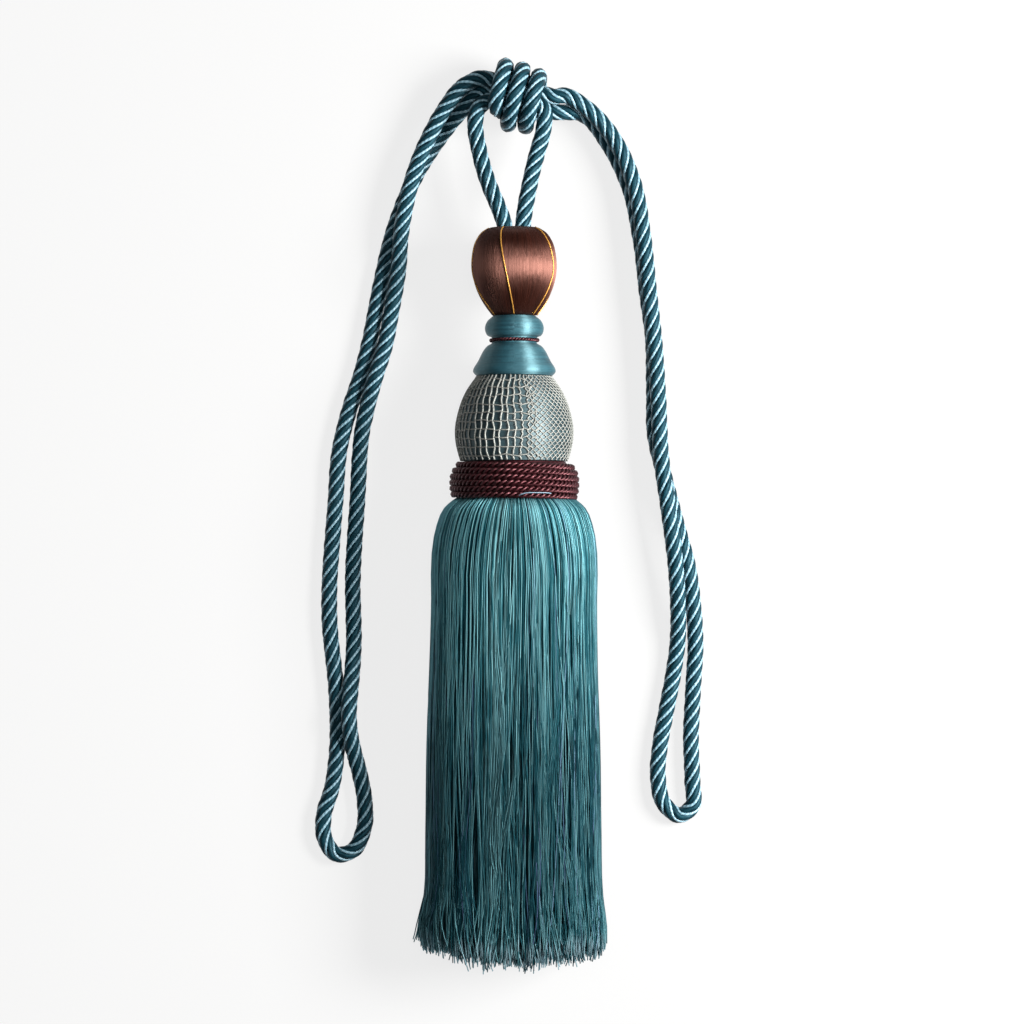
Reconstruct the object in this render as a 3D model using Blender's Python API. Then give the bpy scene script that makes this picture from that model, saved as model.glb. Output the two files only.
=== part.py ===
"""A curtain tieback tassel laid on its back.

The tassel lies along Y with its hem towards -Y, its wound head towards +Y and Z up from the surface.
A doubled rope leaves a knot above the head on both sides, and ends in a loop on each side.
Tables are in millimetres, lengths in the functions are in metres.
"""
import math
from collections import namedtuple

import bmesh
import bpy
from mathutils import Vector

MM = 0.001
GAP = 0.3 * MM

# The head: turned pieces on one stiff axis, which the skirt's weight holds almost level.
HEAD_FOOT = Vector((1.4, 42.6, 28.1)) * MM
HEAD_DIP = math.radians(0.5)
HEAD_SIDES = 32
WAIST_THREAD_RADIUS = 0.65 * MM
WAIST_THREAD_SIDES = 6
BAND_TURNS = 6
BAND_RIDGE = 0.7 * MM
BAND_ROWS_A_TURN = 3

# The skirt: one body of threads, flattened by its own weight on the surface.
SKIRT_MIDDLE = 1.0 * MM
SKIRT_SIDES = 56
SKIRT_BOXINESS = 2.35
LOCK_DEPTH = 1.6 * MM
LOCK_START = 30 * MM
COMB_DEPTH = 3.8 * MM
HEM_CORNER_LIFT = 12 * MM

# The rope and its knot.
ROPE_DIAMETER = 7.0 * MM
ROPE_STEP = 2.5 * ROPE_DIAMETER
ROPE_TURN = math.radians(24)
ROPE_SIDES_SETTING = 2
ROPE_LEAD = 4.0 * MM
ROPE_CLEARANCE = 0.75 * MM
KNOT_CENTRE = Vector((2.3, 212.4, 15.0)) * MM
KNOT_SLOPE = math.radians(-14.8)
KNOT_TURNS = 3
KNOT_LENGTH = 21.4 * MM
KNOT_HALF_HEIGHT = 15.2 * MM
KNOT_HALF_THICKNESS = 14.2 * MM
KNOT_GROOVE = 2.2 * MM
KNOT_SIDES = 28
KNOT_ROWS_A_TURN = 6
KNOT_TUCK_FROM = 0.3

Turn = namedtuple("Turn", "along radius")
Slice = namedtuple("Slice", "down half_width top sink")
Wave = namedtuple("Wave", "count phase drift weight")
HemRing = namedtuple("HemRing", "below shrink comb")
Finish = namedtuple("Finish", "colour roughness")

# Profiles of the head's pieces: distance along the axis from the band's foot, and radius.
CROWN_PROFILE = (
    Turn(77.3, 9.3),
    Turn(81.0, 12.1),
    Turn(87.0, 15.4),
    Turn(95.0, 17.5),
    Turn(101.5, 17.4),
    Turn(108.0, 15.8),
    Turn(111.8, 13.2),
    Turn(113.6, 10.4),
)
COLLAR_PROFILE = (
    Turn(52.0, 16.0),
    Turn(53.2, 17.1),
    Turn(58.3, 15.0),
    Turn(64.4, 11.2),
    Turn(65.6, 9.2),
    Turn(67.8, 9.2),
    Turn(68.7, 11.2),
    Turn(71.8, 12.3),
    Turn(74.4, 11.5),
    Turn(76.9, 8.9),
)
EGG_PROFILE = (
    Turn(16.3, 22.7),
    Turn(19.0, 23.5),
    Turn(24.5, 24.7),
    Turn(30.0, 24.9),
    Turn(36.2, 23.8),
    Turn(44.4, 20.8),
    Turn(51.7, 16.0),
)
BAND_PROFILE = (
    Turn(0.0, 25.7),
    Turn(5.3, 26.7),
    Turn(10.7, 26.3),
    Turn(16.0, 23.2),
)
WAIST_ALONG = 66.7
WAIST_GROOVE_RADIUS = 9.2

# Sections of the skirt: distance below the band, half width, height of the top, and how far the round
# form would sink below the surface where the threads lie flat instead.
SKIRT_SLICES = (
    Slice(0.0, 26.0, 53.9, -2.0),
    Slice(3.0, 29.4, 55.1, 0.2),
    Slice(13.0, 33.3, 54.4, 2.6),
    Slice(22.0, 34.6, 53.0, 3.4),
    Slice(43.0, 34.7, 50.6, 4.0),
    Slice(68.0, 35.2, 49.0, 4.2),
    Slice(102.0, 36.3, 47.4, 4.2),
    Slice(140.0, 36.8, 45.4, 4.0),
    Slice(166.0, 37.4, 43.6, 3.8),
    Slice(180.0, 38.8, 42.0, 3.5),
    Slice(191.0, 38.4, 40.0, 3.2),
)
HEM_DOWN = 191.0

# The locks around the skirt: how many, their phase, how they wander downwards, and their share of the depth.
LOCK_WAVES = (
    Wave(11, 0.9, 5.0, 0.45),
    Wave(17, 2.1, -9.0, 0.32),
    Wave(26, 4.0, 12.0, 0.23),
)

# The hem's rings from its edge inwards: distance below the edge, share of the size, and of the comb's depth.
HEM_RINGS = (
    HemRing(0.0, 1.0, 1.0),
    HemRing(4.0, 0.72, -0.6),
    HemRing(6.0, 0.4, 0.4),
)

# Where the tie's two runs of rope enter the knot: sideways of its axis, and height above the surface.
FRONT_LANE = (4.3, 15.0)
BACK_LANE = (-1.6, 10.9)

# The left rope from the knot down to its loop and back up to the knot.
LEFT_ROUTE = (
    (-20.0, 217.2, 14.2), (-27.4, 208.5, 12.6), (-34.6, 196.0, 11.2), (-41.8, 177.9, 10.9),
    (-46.3, 156.8, 10.3), (-47.8, 139.2, 8.4), (-50.7, 122.5, 6.5), (-53.3, 108.5, 6.7),
    (-58.0, 92.8, 7.7), (-62.9, 73.0, 5.3), (-65.2, 42.7, 3.5), (-67.2, 8.0, 3.5),
    (-66.8, -20.0, 3.7), (-68.0, -38.7, 7.2), (-68.6, -47.0, 9.1), (-68.1, -55.5, 8.7),
    (-66.6, -64.1, 6.0), (-64.3, -73.2, 3.8), (-62.2, -84.7, 3.5), (-62.4, -96.6, 3.5),
    (-67.3, -106.2, 3.5), (-74.0, -107.8, 3.5), (-79.2, -100.9, 3.5), (-79.6, -91.9, 3.5),
    (-76.0, -79.2, 3.5), (-74.1, -65.6, 3.5), (-74.2, -39.0, 3.5), (-77.1, -8.3, 3.5),
    (-74.5, 42.7, 3.5), (-72.8, 63.9, 3.5), (-68.4, 81.8, 3.5), (-63.9, 95.3, 3.5),
    (-60.4, 108.5, 3.5), (-55.5, 133.4, 3.5), (-49.7, 157.4, 3.5), (-37.4, 185.8, 3.5),
    (-28.0, 197.5, 5.2), (-19.5, 206.9, 8.4),
)

# The right rope, the same way.
RIGHT_ROUTE = (
    (22.1, 213.2, 14.6), (30.6, 208.9, 13.3), (38.4, 201.9, 11.8), (46.1, 190.6, 11.1),
    (52.4, 174.5, 10.9), (55.8, 154.7, 10.9), (58.3, 131.0, 10.9), (60.6, 109.4, 10.9),
    (62.3, 84.1, 10.9), (63.4, 61.7, 10.9), (66.3, 40.5, 10.8), (68.9, 21.5, 10.1),
    (70.3, 6.7, 8.7), (70.8, -4.8, 7.2), (70.7, -16.8, 4.6), (69.0, -30.4, 3.5),
    (65.8, -47.3, 3.5), (63.1, -62.6, 3.5), (62.4, -75.8, 3.5), (65.3, -86.8, 3.5),
    (71.6, -91.2, 3.5), (76.8, -87.6, 3.5), (77.0, -76.8, 3.5), (76.4, -59.2, 3.5),
    (77.3, -38.0, 3.5), (78.3, -16.8, 3.5), (77.4, -1.9, 3.5), (75.2, 14.2, 3.5),
    (70.1, 33.3, 3.5), (65.0, 53.3, 3.5), (61.1, 70.3, 3.5), (60.7, 89.4, 3.5),
    (60.1, 112.8, 3.5), (57.8, 129.7, 3.5), (55.0, 153.1, 3.5), (49.8, 176.6, 3.5),
    (41.4, 192.8, 4.5), (30.4, 203.5, 8.4),
)

# The hanger's two legs, from the crown up to the knot.
HANGER_LEFT_ROUTE = (
    (-2.7, 157.5, 24.4), (-5.3, 165.4, 23.7), (-9.0, 174.3, 22.0), (-11.7, 182.6, 20.2),
    (-13.5, 190.6, 18.9), (-14.7, 198.2, 18.5), (-14.6, 203.0, 18.7), (-13.0, 206.7, 18.8),
    (-8.8, 209.0, 18.6),
)
HANGER_RIGHT_ROUTE = (
    (5.0, 157.2, 24.4), (6.1, 165.8, 23.7), (7.7, 174.3, 22.0), (9.4, 182.6, 20.2),
    (11.4, 190.6, 18.9), (13.0, 196.4, 18.5), (14.3, 200.2, 18.8), (14.9, 202.8, 18.9),
)

CROWN_FINISH = Finish((0.16, 0.055, 0.035), 0.38)
TEAL_FINISH = Finish((0.05, 0.24, 0.28), 0.4)
EGG_FINISH = Finish((0.22, 0.36, 0.36), 0.42)
BURGUNDY_FINISH = Finish((0.13, 0.02, 0.035), 0.55)
SKIRT_FINISH = Finish((0.035, 0.22, 0.25), 0.45)
ROPE_FINISH = Finish((0.04, 0.17, 0.22), 0.45)


def clear_scene():
    for thing in list(bpy.data.objects):
        bpy.data.objects.remove(thing, do_unlink=True)


def material(name, finish):
    made = bpy.data.materials.new(name)
    made.use_nodes = True
    shader = made.node_tree.nodes["Principled BSDF"]
    shader.inputs["Base Color"].default_value = (*finish.colour, 1.0)
    shader.inputs["Roughness"].default_value = finish.roughness
    shader.inputs["Metallic"].default_value = 0.0
    return made


def place(name, data, finish, parent=None):
    made = bpy.data.objects.new(name, data)
    data.materials.append(material(name + "_finish", finish))
    bpy.context.collection.objects.link(made)
    made.parent = parent
    return made


def mesh_of(name, shape):
    bmesh.ops.recalc_face_normals(shape, faces=shape.faces)
    data = bpy.data.meshes.new(name)
    shape.to_mesh(data)
    shape.free()
    data.shade_smooth()
    data.set_sharp_from_angle(angle=math.radians(40))
    return data


def smooth_points(route, steps):
    """Points on a smooth curve through the route, with the given number of steps between two of them."""
    points = [Vector(point) for point in route]
    chords = [(b - a).length for a, b in zip(points, points[1:])]
    slopes = [(points[1] - points[0]) / chords[0]]
    for i in range(1, len(points) - 1):
        before = (points[i] - points[i - 1]) / chords[i - 1]
        after = (points[i + 1] - points[i]) / chords[i]
        slopes.append((before * chords[i] + after * chords[i - 1]) / (chords[i] + chords[i - 1]))
    slopes.append((points[-1] - points[-2]) / chords[-1])
    found = []
    for i, chord in enumerate(chords):
        for step in range(steps):
            t = step / steps
            found.append(
                points[i] * (2 * t**3 - 3 * t**2 + 1)
                + points[i + 1] * (3 * t**2 - 2 * t**3)
                + slopes[i] * chord * (t**3 - 2 * t**2 + t)
                + slopes[i + 1] * chord * (t**3 - t**2)
            )
    found.append(points[-1])
    return found


def smooth_rows(table, steps):
    """The rows of a table with more rows between them, on a smooth curve through all its columns."""
    kind = type(table[0])
    return [kind(*point) for point in smooth_points(table, steps)]


# The head


def head_axis():
    """The turned pieces hang on this empty, whose own Z runs along the head towards the crown."""
    axis = bpy.data.objects.new("head_axis", None)
    bpy.context.collection.objects.link(axis)
    axis.location = HEAD_FOOT
    axis.rotation_euler = (-math.pi / 2 - HEAD_DIP, 0.0, 0.0)
    return axis


def turned(name, rows, finish, axis):
    """A piece turned from rows of distance along the axis and radius, with flat ends."""
    outline = [(0.0, rows[0].along)] + [(row.radius, row.along) for row in rows] + [(0.0, rows[-1].along)]
    shape = bmesh.new()
    corners = [shape.verts.new((radius * MM, 0.0, along * MM)) for radius, along in outline]
    edges = [shape.edges.new(pair) for pair in zip(corners, corners[1:])]
    bmesh.ops.spin(
        shape,
        geom=corners + edges,
        axis=(0.0, 0.0, 1.0),
        cent=(0.0, 0.0, 0.0),
        angle=2 * math.pi,
        steps=HEAD_SIDES,
        use_duplicate=False,
    )
    bmesh.ops.remove_doubles(shape, verts=shape.verts, dist=0.001 * MM)
    return place(name, mesh_of(name, shape), finish, axis)


def crown_bead(axis):
    return turned("crown_bead", smooth_rows(CROWN_PROFILE, 2), CROWN_FINISH, axis)


def collar(axis):
    """The satin collar: a flared skirt below, a waist with a groove for its thread, and a roll above."""
    return turned("collar", smooth_rows(COLLAR_PROFILE, 2), TEAL_FINISH, axis)


def waist_thread(axis):
    """The thread in the collar's waist, a closed ring."""
    ring = (WAIST_GROOVE_RADIUS * MM) + GAP + WAIST_THREAD_RADIUS
    outline = [2 * math.pi * side / WAIST_THREAD_SIDES for side in range(WAIST_THREAD_SIDES)]
    shape = bmesh.new()
    corners = [
        shape.verts.new(
            (ring + WAIST_THREAD_RADIUS * math.cos(turn), 0.0, WAIST_THREAD_RADIUS * math.sin(turn))
        )
        for turn in outline
    ]
    edges = [shape.edges.new((a, b)) for a, b in zip(corners, corners[1:] + corners[:1])]
    bmesh.ops.spin(
        shape,
        geom=corners + edges,
        axis=(0.0, 0.0, 1.0),
        cent=(0.0, 0.0, 0.0),
        angle=2 * math.pi,
        steps=HEAD_SIDES,
        use_duplicate=False,
    )
    bmesh.ops.remove_doubles(shape, verts=shape.verts, dist=0.001 * MM)
    made = place("waist_thread", mesh_of("waist_thread", shape), BURGUNDY_FINISH, axis)
    made.location = (0.0, 0.0, WAIST_ALONG * MM)
    return made


def egg_bead(axis):
    return turned("egg_bead", smooth_rows(EGG_PROFILE, 2), EGG_FINISH, axis)


def band(axis):
    """The corded band: six turns side by side, each a low round ridge on the band's own outline."""
    outline = smooth_rows(BAND_PROFILE, BAND_TURNS * BAND_ROWS_A_TURN // (len(BAND_PROFILE) - 1))
    rows = []
    for i, row in enumerate(outline):
        part = (i % BAND_ROWS_A_TURN) / BAND_ROWS_A_TURN
        ridge = BAND_RIDGE / MM * math.sin(math.pi * part)
        rows.append(Turn(row.along, row.radius + ridge))
    return turned("band", rows, BURGUNDY_FINISH, axis)


# The skirt


def lock_swell(turn, down):
    """How far the locks of thread stand in or out at a place on the skirt, growing from the band."""
    total = 0.0
    for wave in LOCK_WAVES:
        total += wave.weight * math.sin(wave.count * turn + wave.phase + wave.drift * down)
    return LOCK_DEPTH * total * min(1.0, down / LOCK_START)


def skirt_ring(row, down, shrink=1.0, comb=0.0):
    """One section across the skirt: round at the sides and the top, flat where it lies."""
    half_height = (row.top + row.sink) / 2 * MM
    middle = row.top * MM - half_height
    spread = min(1.0, down / LOCK_START)
    lean = math.tan(HEAD_DIP) * (1 - spread)
    corner_lift = HEM_CORNER_LIFT * min(1.0, down / HEM_DOWN / MM) ** 8
    ring = []
    for side in range(SKIRT_SIDES):
        turn = 2 * math.pi * side / SKIRT_SIDES
        across, up = math.cos(turn), math.sin(turn)
        power = 2 / (2 + (SKIRT_BOXINESS - 2) * spread)
        swell = lock_swell(turn, down)
        x = (row.half_width * MM + swell) * shrink * math.copysign(abs(across) ** power, across)
        z = middle + (half_height + swell) * shrink * math.copysign(abs(up) ** power, up)
        tooth = COMB_DEPTH * comb * (1 if side % 2 else -1)
        corner = corner_lift * min(1.0, abs(x) / (row.half_width * MM)) ** 2
        ring.append(Vector((x, lean * (z - middle) - down + corner + tooth, max(0.0, z))))
    return ring


def skirt():
    rows = smooth_rows(SKIRT_SLICES, 2)
    rings = [skirt_ring(row, row.down * MM) for row in rows[:-1]]
    hem = rows[-1]
    rings += [skirt_ring(hem, (hem.down + edge.below) * MM, edge.shrink, edge.comb) for edge in HEM_RINGS]
    shape = bmesh.new()
    loops = []
    for ring in rings:
        corners = [shape.verts.new(point) for point in ring]
        loops.append([shape.edges.new(pair) for pair in zip(corners, corners[1:] + corners[:1])])
    for upper, lower in zip(loops, loops[1:]):
        bmesh.ops.bridge_loops(shape, edges=upper + lower)
    bmesh.ops.edgeloop_fill(shape, edges=loops[0])
    bmesh.ops.edgeloop_fill(shape, edges=loops[-1])
    made = place("skirt", mesh_of("skirt", shape), SKIRT_FINISH)
    made.location = (SKIRT_MIDDLE, HEAD_FOOT.y - GAP, 0.0)
    return made


# The ropes


def knot_point(along, sideways, height):
    """A place by the knot: along its own axis from its middle, sideways of the axis, and at a height."""
    c, s = math.cos(KNOT_SLOPE), math.sin(KNOT_SLOPE)
    return Vector(
        (
            KNOT_CENTRE.x + along * c - sideways * s,
            KNOT_CENTRE.y + along * s + sideways * c,
            height,
        )
    )


def knot():
    """The knot's three turns of rope as one wound body. The first turn tucks away below its middle."""
    shape = bmesh.new()
    rows = KNOT_TURNS * KNOT_ROWS_A_TURN
    pitch = KNOT_LENGTH / KNOT_TURNS
    loops = []
    for row in range(rows + 1):
        part = row / rows
        dip = KNOT_GROOVE * (1 - math.sin(math.pi * (row % KNOT_ROWS_A_TURN) / KNOT_ROWS_A_TURN))
        corners = []
        for side in range(KNOT_SIDES):
            turn = 2 * math.pi * side / KNOT_SIDES
            low = min(1.0, max(0.0, (-math.cos(turn) - KNOT_TUCK_FROM) / (1 - KNOT_TUCK_FROM)))
            tuck = (1 - part) * pitch * low**2 * (3 - 2 * low)
            corner = (
                KNOT_LENGTH * (part - 0.5) + tuck,
                (KNOT_HALF_HEIGHT - dip) * math.cos(turn),
                (KNOT_HALF_THICKNESS - dip) * math.sin(turn),
            )
            corners.append(shape.verts.new(corner))
        loops.append([shape.edges.new(pair) for pair in zip(corners, corners[1:] + corners[:1])])
    for left, right in zip(loops, loops[1:]):
        bmesh.ops.bridge_loops(shape, edges=left + right)
    for end, loop in ((-0.5, loops[0]), (0.5, loops[-1])):
        middle = shape.verts.new((end * KNOT_LENGTH, 0.0, 0.0))
        for edge in loop:
            shape.faces.new((*edge.verts, middle))
    made = place("knot", mesh_of("knot", shape), ROPE_FINISH)
    made.location = KNOT_CENTRE
    made.rotation_euler = (0.0, 0.0, KNOT_SLOPE)
    return made


def spaced(points):
    """Fewer points of a curve: one each step, more where it bends, and one just inside each end."""
    kept = [points[0]]
    heading = (points[1] - points[0]).normalized()
    run = 0.0
    for before, point, after in zip(points, points[1:], points[2:]):
        run += (point - before).length
        next_heading = (after - point).normalized()
        turned_by = heading.angle(next_heading)
        first = len(kept) == 1 and run > 0.4 * ROPE_DIAMETER
        if first or run > ROPE_STEP or (turned_by > ROPE_TURN and run > 0.5 * ROPE_DIAMETER):
            kept.append(point)
            heading = next_heading
            run = 0.0
    if (kept[-1] - points[-1]).length < 0.4 * ROPE_DIAMETER:
        kept.pop()
    kept.append(points[-1])
    return kept


def rope(name, route):
    """A rope as a plain round tube along a smooth curve through its route."""
    points = spaced(smooth_points(route, 12))
    for point in points:
        point.z = max(point.z, ROPE_DIAMETER / 2)
    data = bpy.data.curves.new(name, "CURVE")
    data.dimensions = "3D"
    data.bevel_depth = (ROPE_DIAMETER - GAP) / 2
    data.bevel_resolution = ROPE_SIDES_SETTING
    data.use_fill_caps = True
    spline = data.splines.new("POLY")
    spline.points.add(len(points) - 1)
    for point, corner in zip(points, spline.points):
        corner.co = (*point, 1.0)
    spline.use_smooth = True
    return place(name, data, ROPE_FINISH)


def doubled_rope(name, route, end):
    """A rope that leaves one end of the knot, -1 left or 1 right, and comes back to it."""
    face = end * (KNOT_LENGTH / 2 + ROPE_CLEARANCE)
    lead = face + end * ROPE_LEAD
    front = [knot_point(along, FRONT_LANE[0] * MM, FRONT_LANE[1] * MM) for along in (face, lead)]
    back = [knot_point(along, BACK_LANE[0] * MM, BACK_LANE[1] * MM) for along in (lead, face)]
    between = [Vector(point) * MM for point in route]
    return rope(name, front + between + back)


def build():
    clear_scene()
    axis = head_axis()
    crown_bead(axis)
    collar(axis)
    waist_thread(axis)
    egg_bead(axis)
    band(axis)
    skirt()
    knot()
    doubled_rope("rope_left", LEFT_ROUTE, -1)
    doubled_rope("rope_right", RIGHT_ROUTE, 1)
    rope("hanger_left", [Vector(point) * MM for point in HANGER_LEFT_ROUTE])
    rope("hanger_right", [Vector(point) * MM for point in HANGER_RIGHT_ROUTE])


build()
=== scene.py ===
# %% [markdown]
# # A curtain tieback tassel
#
# The tassel lies on its back with its hem towards -Y and its head towards +Y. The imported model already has
# every size right, but its solids are plain. This lesson dresses them in what the real ones are made of:
# four-strand rope, wound floss and satin, a metallic net, a band of fine cord and some thousands of cut
# threads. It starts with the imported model, because each finished piece lies where a plain solid lies and
# takes its place.

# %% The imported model
import math

import bpy
import numpy as np
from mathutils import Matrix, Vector


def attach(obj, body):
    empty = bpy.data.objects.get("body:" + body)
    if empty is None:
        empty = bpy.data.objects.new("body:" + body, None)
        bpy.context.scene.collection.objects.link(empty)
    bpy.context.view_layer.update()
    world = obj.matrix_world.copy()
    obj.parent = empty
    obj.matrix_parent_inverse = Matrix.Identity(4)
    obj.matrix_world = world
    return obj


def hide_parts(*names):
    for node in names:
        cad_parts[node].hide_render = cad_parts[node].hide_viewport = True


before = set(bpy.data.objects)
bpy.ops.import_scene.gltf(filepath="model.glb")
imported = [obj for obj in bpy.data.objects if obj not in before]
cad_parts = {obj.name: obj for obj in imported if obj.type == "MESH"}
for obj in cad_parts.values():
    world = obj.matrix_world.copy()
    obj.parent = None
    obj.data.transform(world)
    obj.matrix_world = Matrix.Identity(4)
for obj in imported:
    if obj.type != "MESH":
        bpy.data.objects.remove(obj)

MM = 0.001
WHOLE_TURN = 2 * math.pi
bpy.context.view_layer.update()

# %% [markdown]
# ## The camera
#
# A flat lay is photographed from straight above. The rope is just under 17 pixels thick there and 7 mm
# thick in real life, so a pixel covers 0.42 mm. A short lens from close by would show the head's top larger
# than the ropes on the floor. A long one from 1.5 m away keeps them nearly at one scale, which is exact at
# 20 mm above the floor.

# %% The camera
PIXEL = 0.42 * MM
PICTURE_SIDE = 1024
EYE = Vector((0.42, 37.59, 1500.0)) * MM
SCALE_HEIGHT = 20 * MM

lens = bpy.data.cameras.new("camera")
lens.sensor_width = 36.0
lens.lens = lens.sensor_width * (EYE.z - SCALE_HEIGHT) / (PICTURE_SIDE * PIXEL)
camera = bpy.data.objects.new("camera", lens)
camera.location = EYE
bpy.context.scene.collection.objects.link(camera)
bpy.context.scene.camera = camera
print("lens in mm:", round(lens.lens, 1))

# %% [markdown]
# ## Light
#
# Thread only looks like thread when the light comes from the side: the highlights then draw the way it
# runs, and the gaps between the locks stay dark. One lamp from the front would be simpler, but it would
# flatten every thread. So a large soft lamp stands on the right, a weak one hangs above the head, a very
# weak one fills the left, and the room itself is pale and almost dark.

# %% The lamps
AIM = Vector((0.0, 30.0, 20.0)) * MM


def soft_lamp(name, place, size, watts, colour):
    """A square area lamp that points at the tassel."""
    data = bpy.data.lights.new(name, "AREA")
    data.size = size
    data.energy = watts
    data.color = colour
    lamp = bpy.data.objects.new(name, data)
    lamp.location = place
    lamp.rotation_euler = (AIM - lamp.location).to_track_quat("-Z", "Y").to_euler()
    bpy.context.scene.collection.objects.link(lamp)
    print(f"{name}: {watts} W, {size} m wide")


soft_lamp("key_lamp", (0.78, 0.13, 0.64), 0.42, 38.0, (1.0, 0.99, 0.97))
soft_lamp("fill_lamp", (-0.8, 0.1, 1.0), 0.9, 0.3, (0.92, 0.96, 1.0))
soft_lamp("top_lamp", (0.0, 0.22, 1.4), 0.5, 6.0, (1.0, 1.0, 1.0))

# %% The room
ROOM_COLOUR = (0.93, 0.96, 1.0, 1.0)
ROOM_STRENGTH = 0.04

room = bpy.data.worlds.new("room")
room.use_nodes = True
room_light = room.node_tree.nodes["Background"]
room_light.inputs["Color"].default_value = ROOM_COLOUR
room_light.inputs["Strength"].default_value = ROOM_STRENGTH
bpy.context.scene.world = room
bpy.context.scene.view_settings.view_transform = "Standard"
print("room light:", ROOM_STRENGTH)

# %% [markdown]
# ## Writing a finish
#
# A finish is a small sum of patterns: streaks times a tint, one minus a mask. Nodes can do that, but a
# page of nodes is hard to read. So one class wraps a node's output, and sums written on it in Python add
# the Math nodes. Any other node comes from the finish's own `add`.


# %% A wire and a finish
class Wire:
    """The output of a node. A sum on it adds a Math node to its finish."""

    def __init__(self, finish, socket):
        self.finish = finish
        self.socket = socket

    def maths(self, operation, *values):
        return self.finish.add("ShaderNodeMath", {"operation": operation}, dict(enumerate(values)))

    def sine(self):
        return self.maths("SINE", self)

    def __add__(self, other):
        return self.maths("ADD", self, other)

    def __sub__(self, other):
        return self.maths("SUBTRACT", self, other)

    def __rsub__(self, other):
        return self.maths("SUBTRACT", other, self)

    def __mul__(self, other):
        return self.maths("MULTIPLY", self, other)

    __radd__ = __add__
    __rmul__ = __mul__


class Finish:
    """A material in the making, which its pieces wear."""

    def __init__(self, name):
        self.material = bpy.data.materials.new(name)
        self.material.use_nodes = True
        self.tree = self.material.node_tree
        self.shader = self.tree.nodes["Principled BSDF"]

    def feed(self, socket, value):
        """Links a wire to a socket, or sets the socket to a plain value."""
        if isinstance(value, Wire):
            self.tree.links.new(value.socket, socket)
        else:
            socket.default_value = value

    def add(self, kind, settings, sockets, output=0):
        """Any node: its type, its settings, and what its sockets get."""
        node = self.tree.nodes.new(kind)
        for name, value in settings.items():
            if name == "stops":
                self.set_stops(node.color_ramp, value)
            else:
                setattr(node, name, value)
        for name, value in sockets.items():
            self.feed(node.inputs[name], value)
        return Wire(self, node.outputs[output])

    def set_stops(self, ramp, stops):
        while len(ramp.elements) < len(stops):
            ramp.elements.new(1.0)
        for element, (place, colour) in zip(ramp.elements, stops):
            element.position = place
            element.color = colour

    def shade(self, **sockets):
        """Sets the shader's own sockets; an underscore stands for a space."""
        for name, value in sockets.items():
            self.feed(self.shader.inputs[name.replace("_", " ")], value)
        print(f"{self.material.name}: {len(self.tree.nodes)} nodes")


# %% [markdown]
# Most finishes need the same few things: a colour between two others, soft noise on the thread's own map,
# a bump, and a number that each thread carries. Each is a short function, so that a finish below reads as
# a recipe.


# %% What most finishes share
def tint(red, green, blue):
    """A colour as the nodes take it."""
    return (red, green, blue, 1.0)


def mixed(finish, share, first, second):
    """The first colour where share is 0 and the second where it is 1."""
    return finish.add("ShaderNodeMix", {"data_type": "RGBA"}, {0: share, 6: first, 7: second}, output=2)


def lay_map(finish, around, along, shift=(0.0, 0.0, 0.0)):
    """The threads' own map, stretched: times round a thread, and per metre along it."""
    flat = finish.add("ShaderNodeUVMap", {"uv_map": "lay"}, {})
    scale = (around, along, 1.0)
    large = finish.add("ShaderNodeVectorMath", {"operation": "MULTIPLY"}, {0: flat, 1: scale})
    return finish.add("ShaderNodeVectorMath", {"operation": "ADD"}, {0: large, 1: shift})


def x_and_y(finish, where):
    """The first two parts of a place, as two numbers."""
    x = finish.add("ShaderNodeSeparateXYZ", {}, {0: where})
    return x, Wire(finish, x.socket.node.outputs[1])


def cloudy(finish, where, scale=1.0, detail=2.0):
    """Soft noise from 0 to 1 at a place."""
    return finish.add("ShaderNodeTexNoise", {}, {"Vector": where, "Scale": scale, "Detail": detail})


def raised(finish, height, depth):
    """The normal of a surface that stands up by the height times the depth in metres."""
    return finish.add("ShaderNodeBump", {}, {"Height": height, "Distance": depth, "Strength": 1.0})


def mark(finish, name):
    """A number that each thread carries."""
    return finish.add("ShaderNodeAttribute", {"attribute_name": name}, {}, output=2)


def spread(finish, value, low, high):
    """Stretches the part of a value between low and high to 0 and 1."""
    return finish.add(
        "ShaderNodeMapRange", {"clamp": True}, {"Value": value, "From Min": low, "From Max": high}
    )


# %% [markdown]
# ## The floor
#
# The tassel lies on an even white ground without an edge. A plain white floor would turn grey where the
# lamps don't reach, and would throw light up under the ropes. So this one takes little light, glows evenly
# of its own, and keeps only a soft shadow.

# %% The floor
FLOOR_HALF = 3.0
FLOOR_DROP = 0.05 * MM

paper = Finish("pale_floor")
paper_grain = cloudy(paper, paper.add("ShaderNodeTexCoord", {}, {}, output=3), scale=900.0)
paper.shade(
    Base_Color=mixed(paper, paper_grain, tint(0.075, 0.075, 0.075), tint(0.085, 0.085, 0.085)),
    Roughness=0.9,
    Specular_IOR_Level=0.0,
    Emission_Color=tint(1.0, 1.0, 1.0),
    Emission_Strength=0.8,
)

floor_data = bpy.data.meshes.new("floor")
floor_corners = [
    (x * FLOOR_HALF, y * FLOOR_HALF, -FLOOR_DROP) for x, y in ((-1, -1), (1, -1), (1, 1), (-1, 1))
]
floor_data.from_pydata(floor_corners, [], [(0, 1, 2, 3)])
floor_data.materials.append(paper.material)
floor = bpy.data.objects.new("floor", floor_data)
bpy.context.scene.collection.objects.link(floor)
print("floor:", 2 * FLOOR_HALF, "m wide")

# %% [markdown]
# ## Thread as geometry
#
# Everything on a tassel is thread: wound, twisted, knotted or cut. A curve with a bevel would draw one
# thread at a time. Here arrays do it: a batch of lines goes in as one block of points, a ring of points is
# set round each of them, and the rings are joined to tubes. Each thread also gets a map that runs round
# and along it, and numbers of its own, which the finishes use to colour thread by thread.


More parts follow.
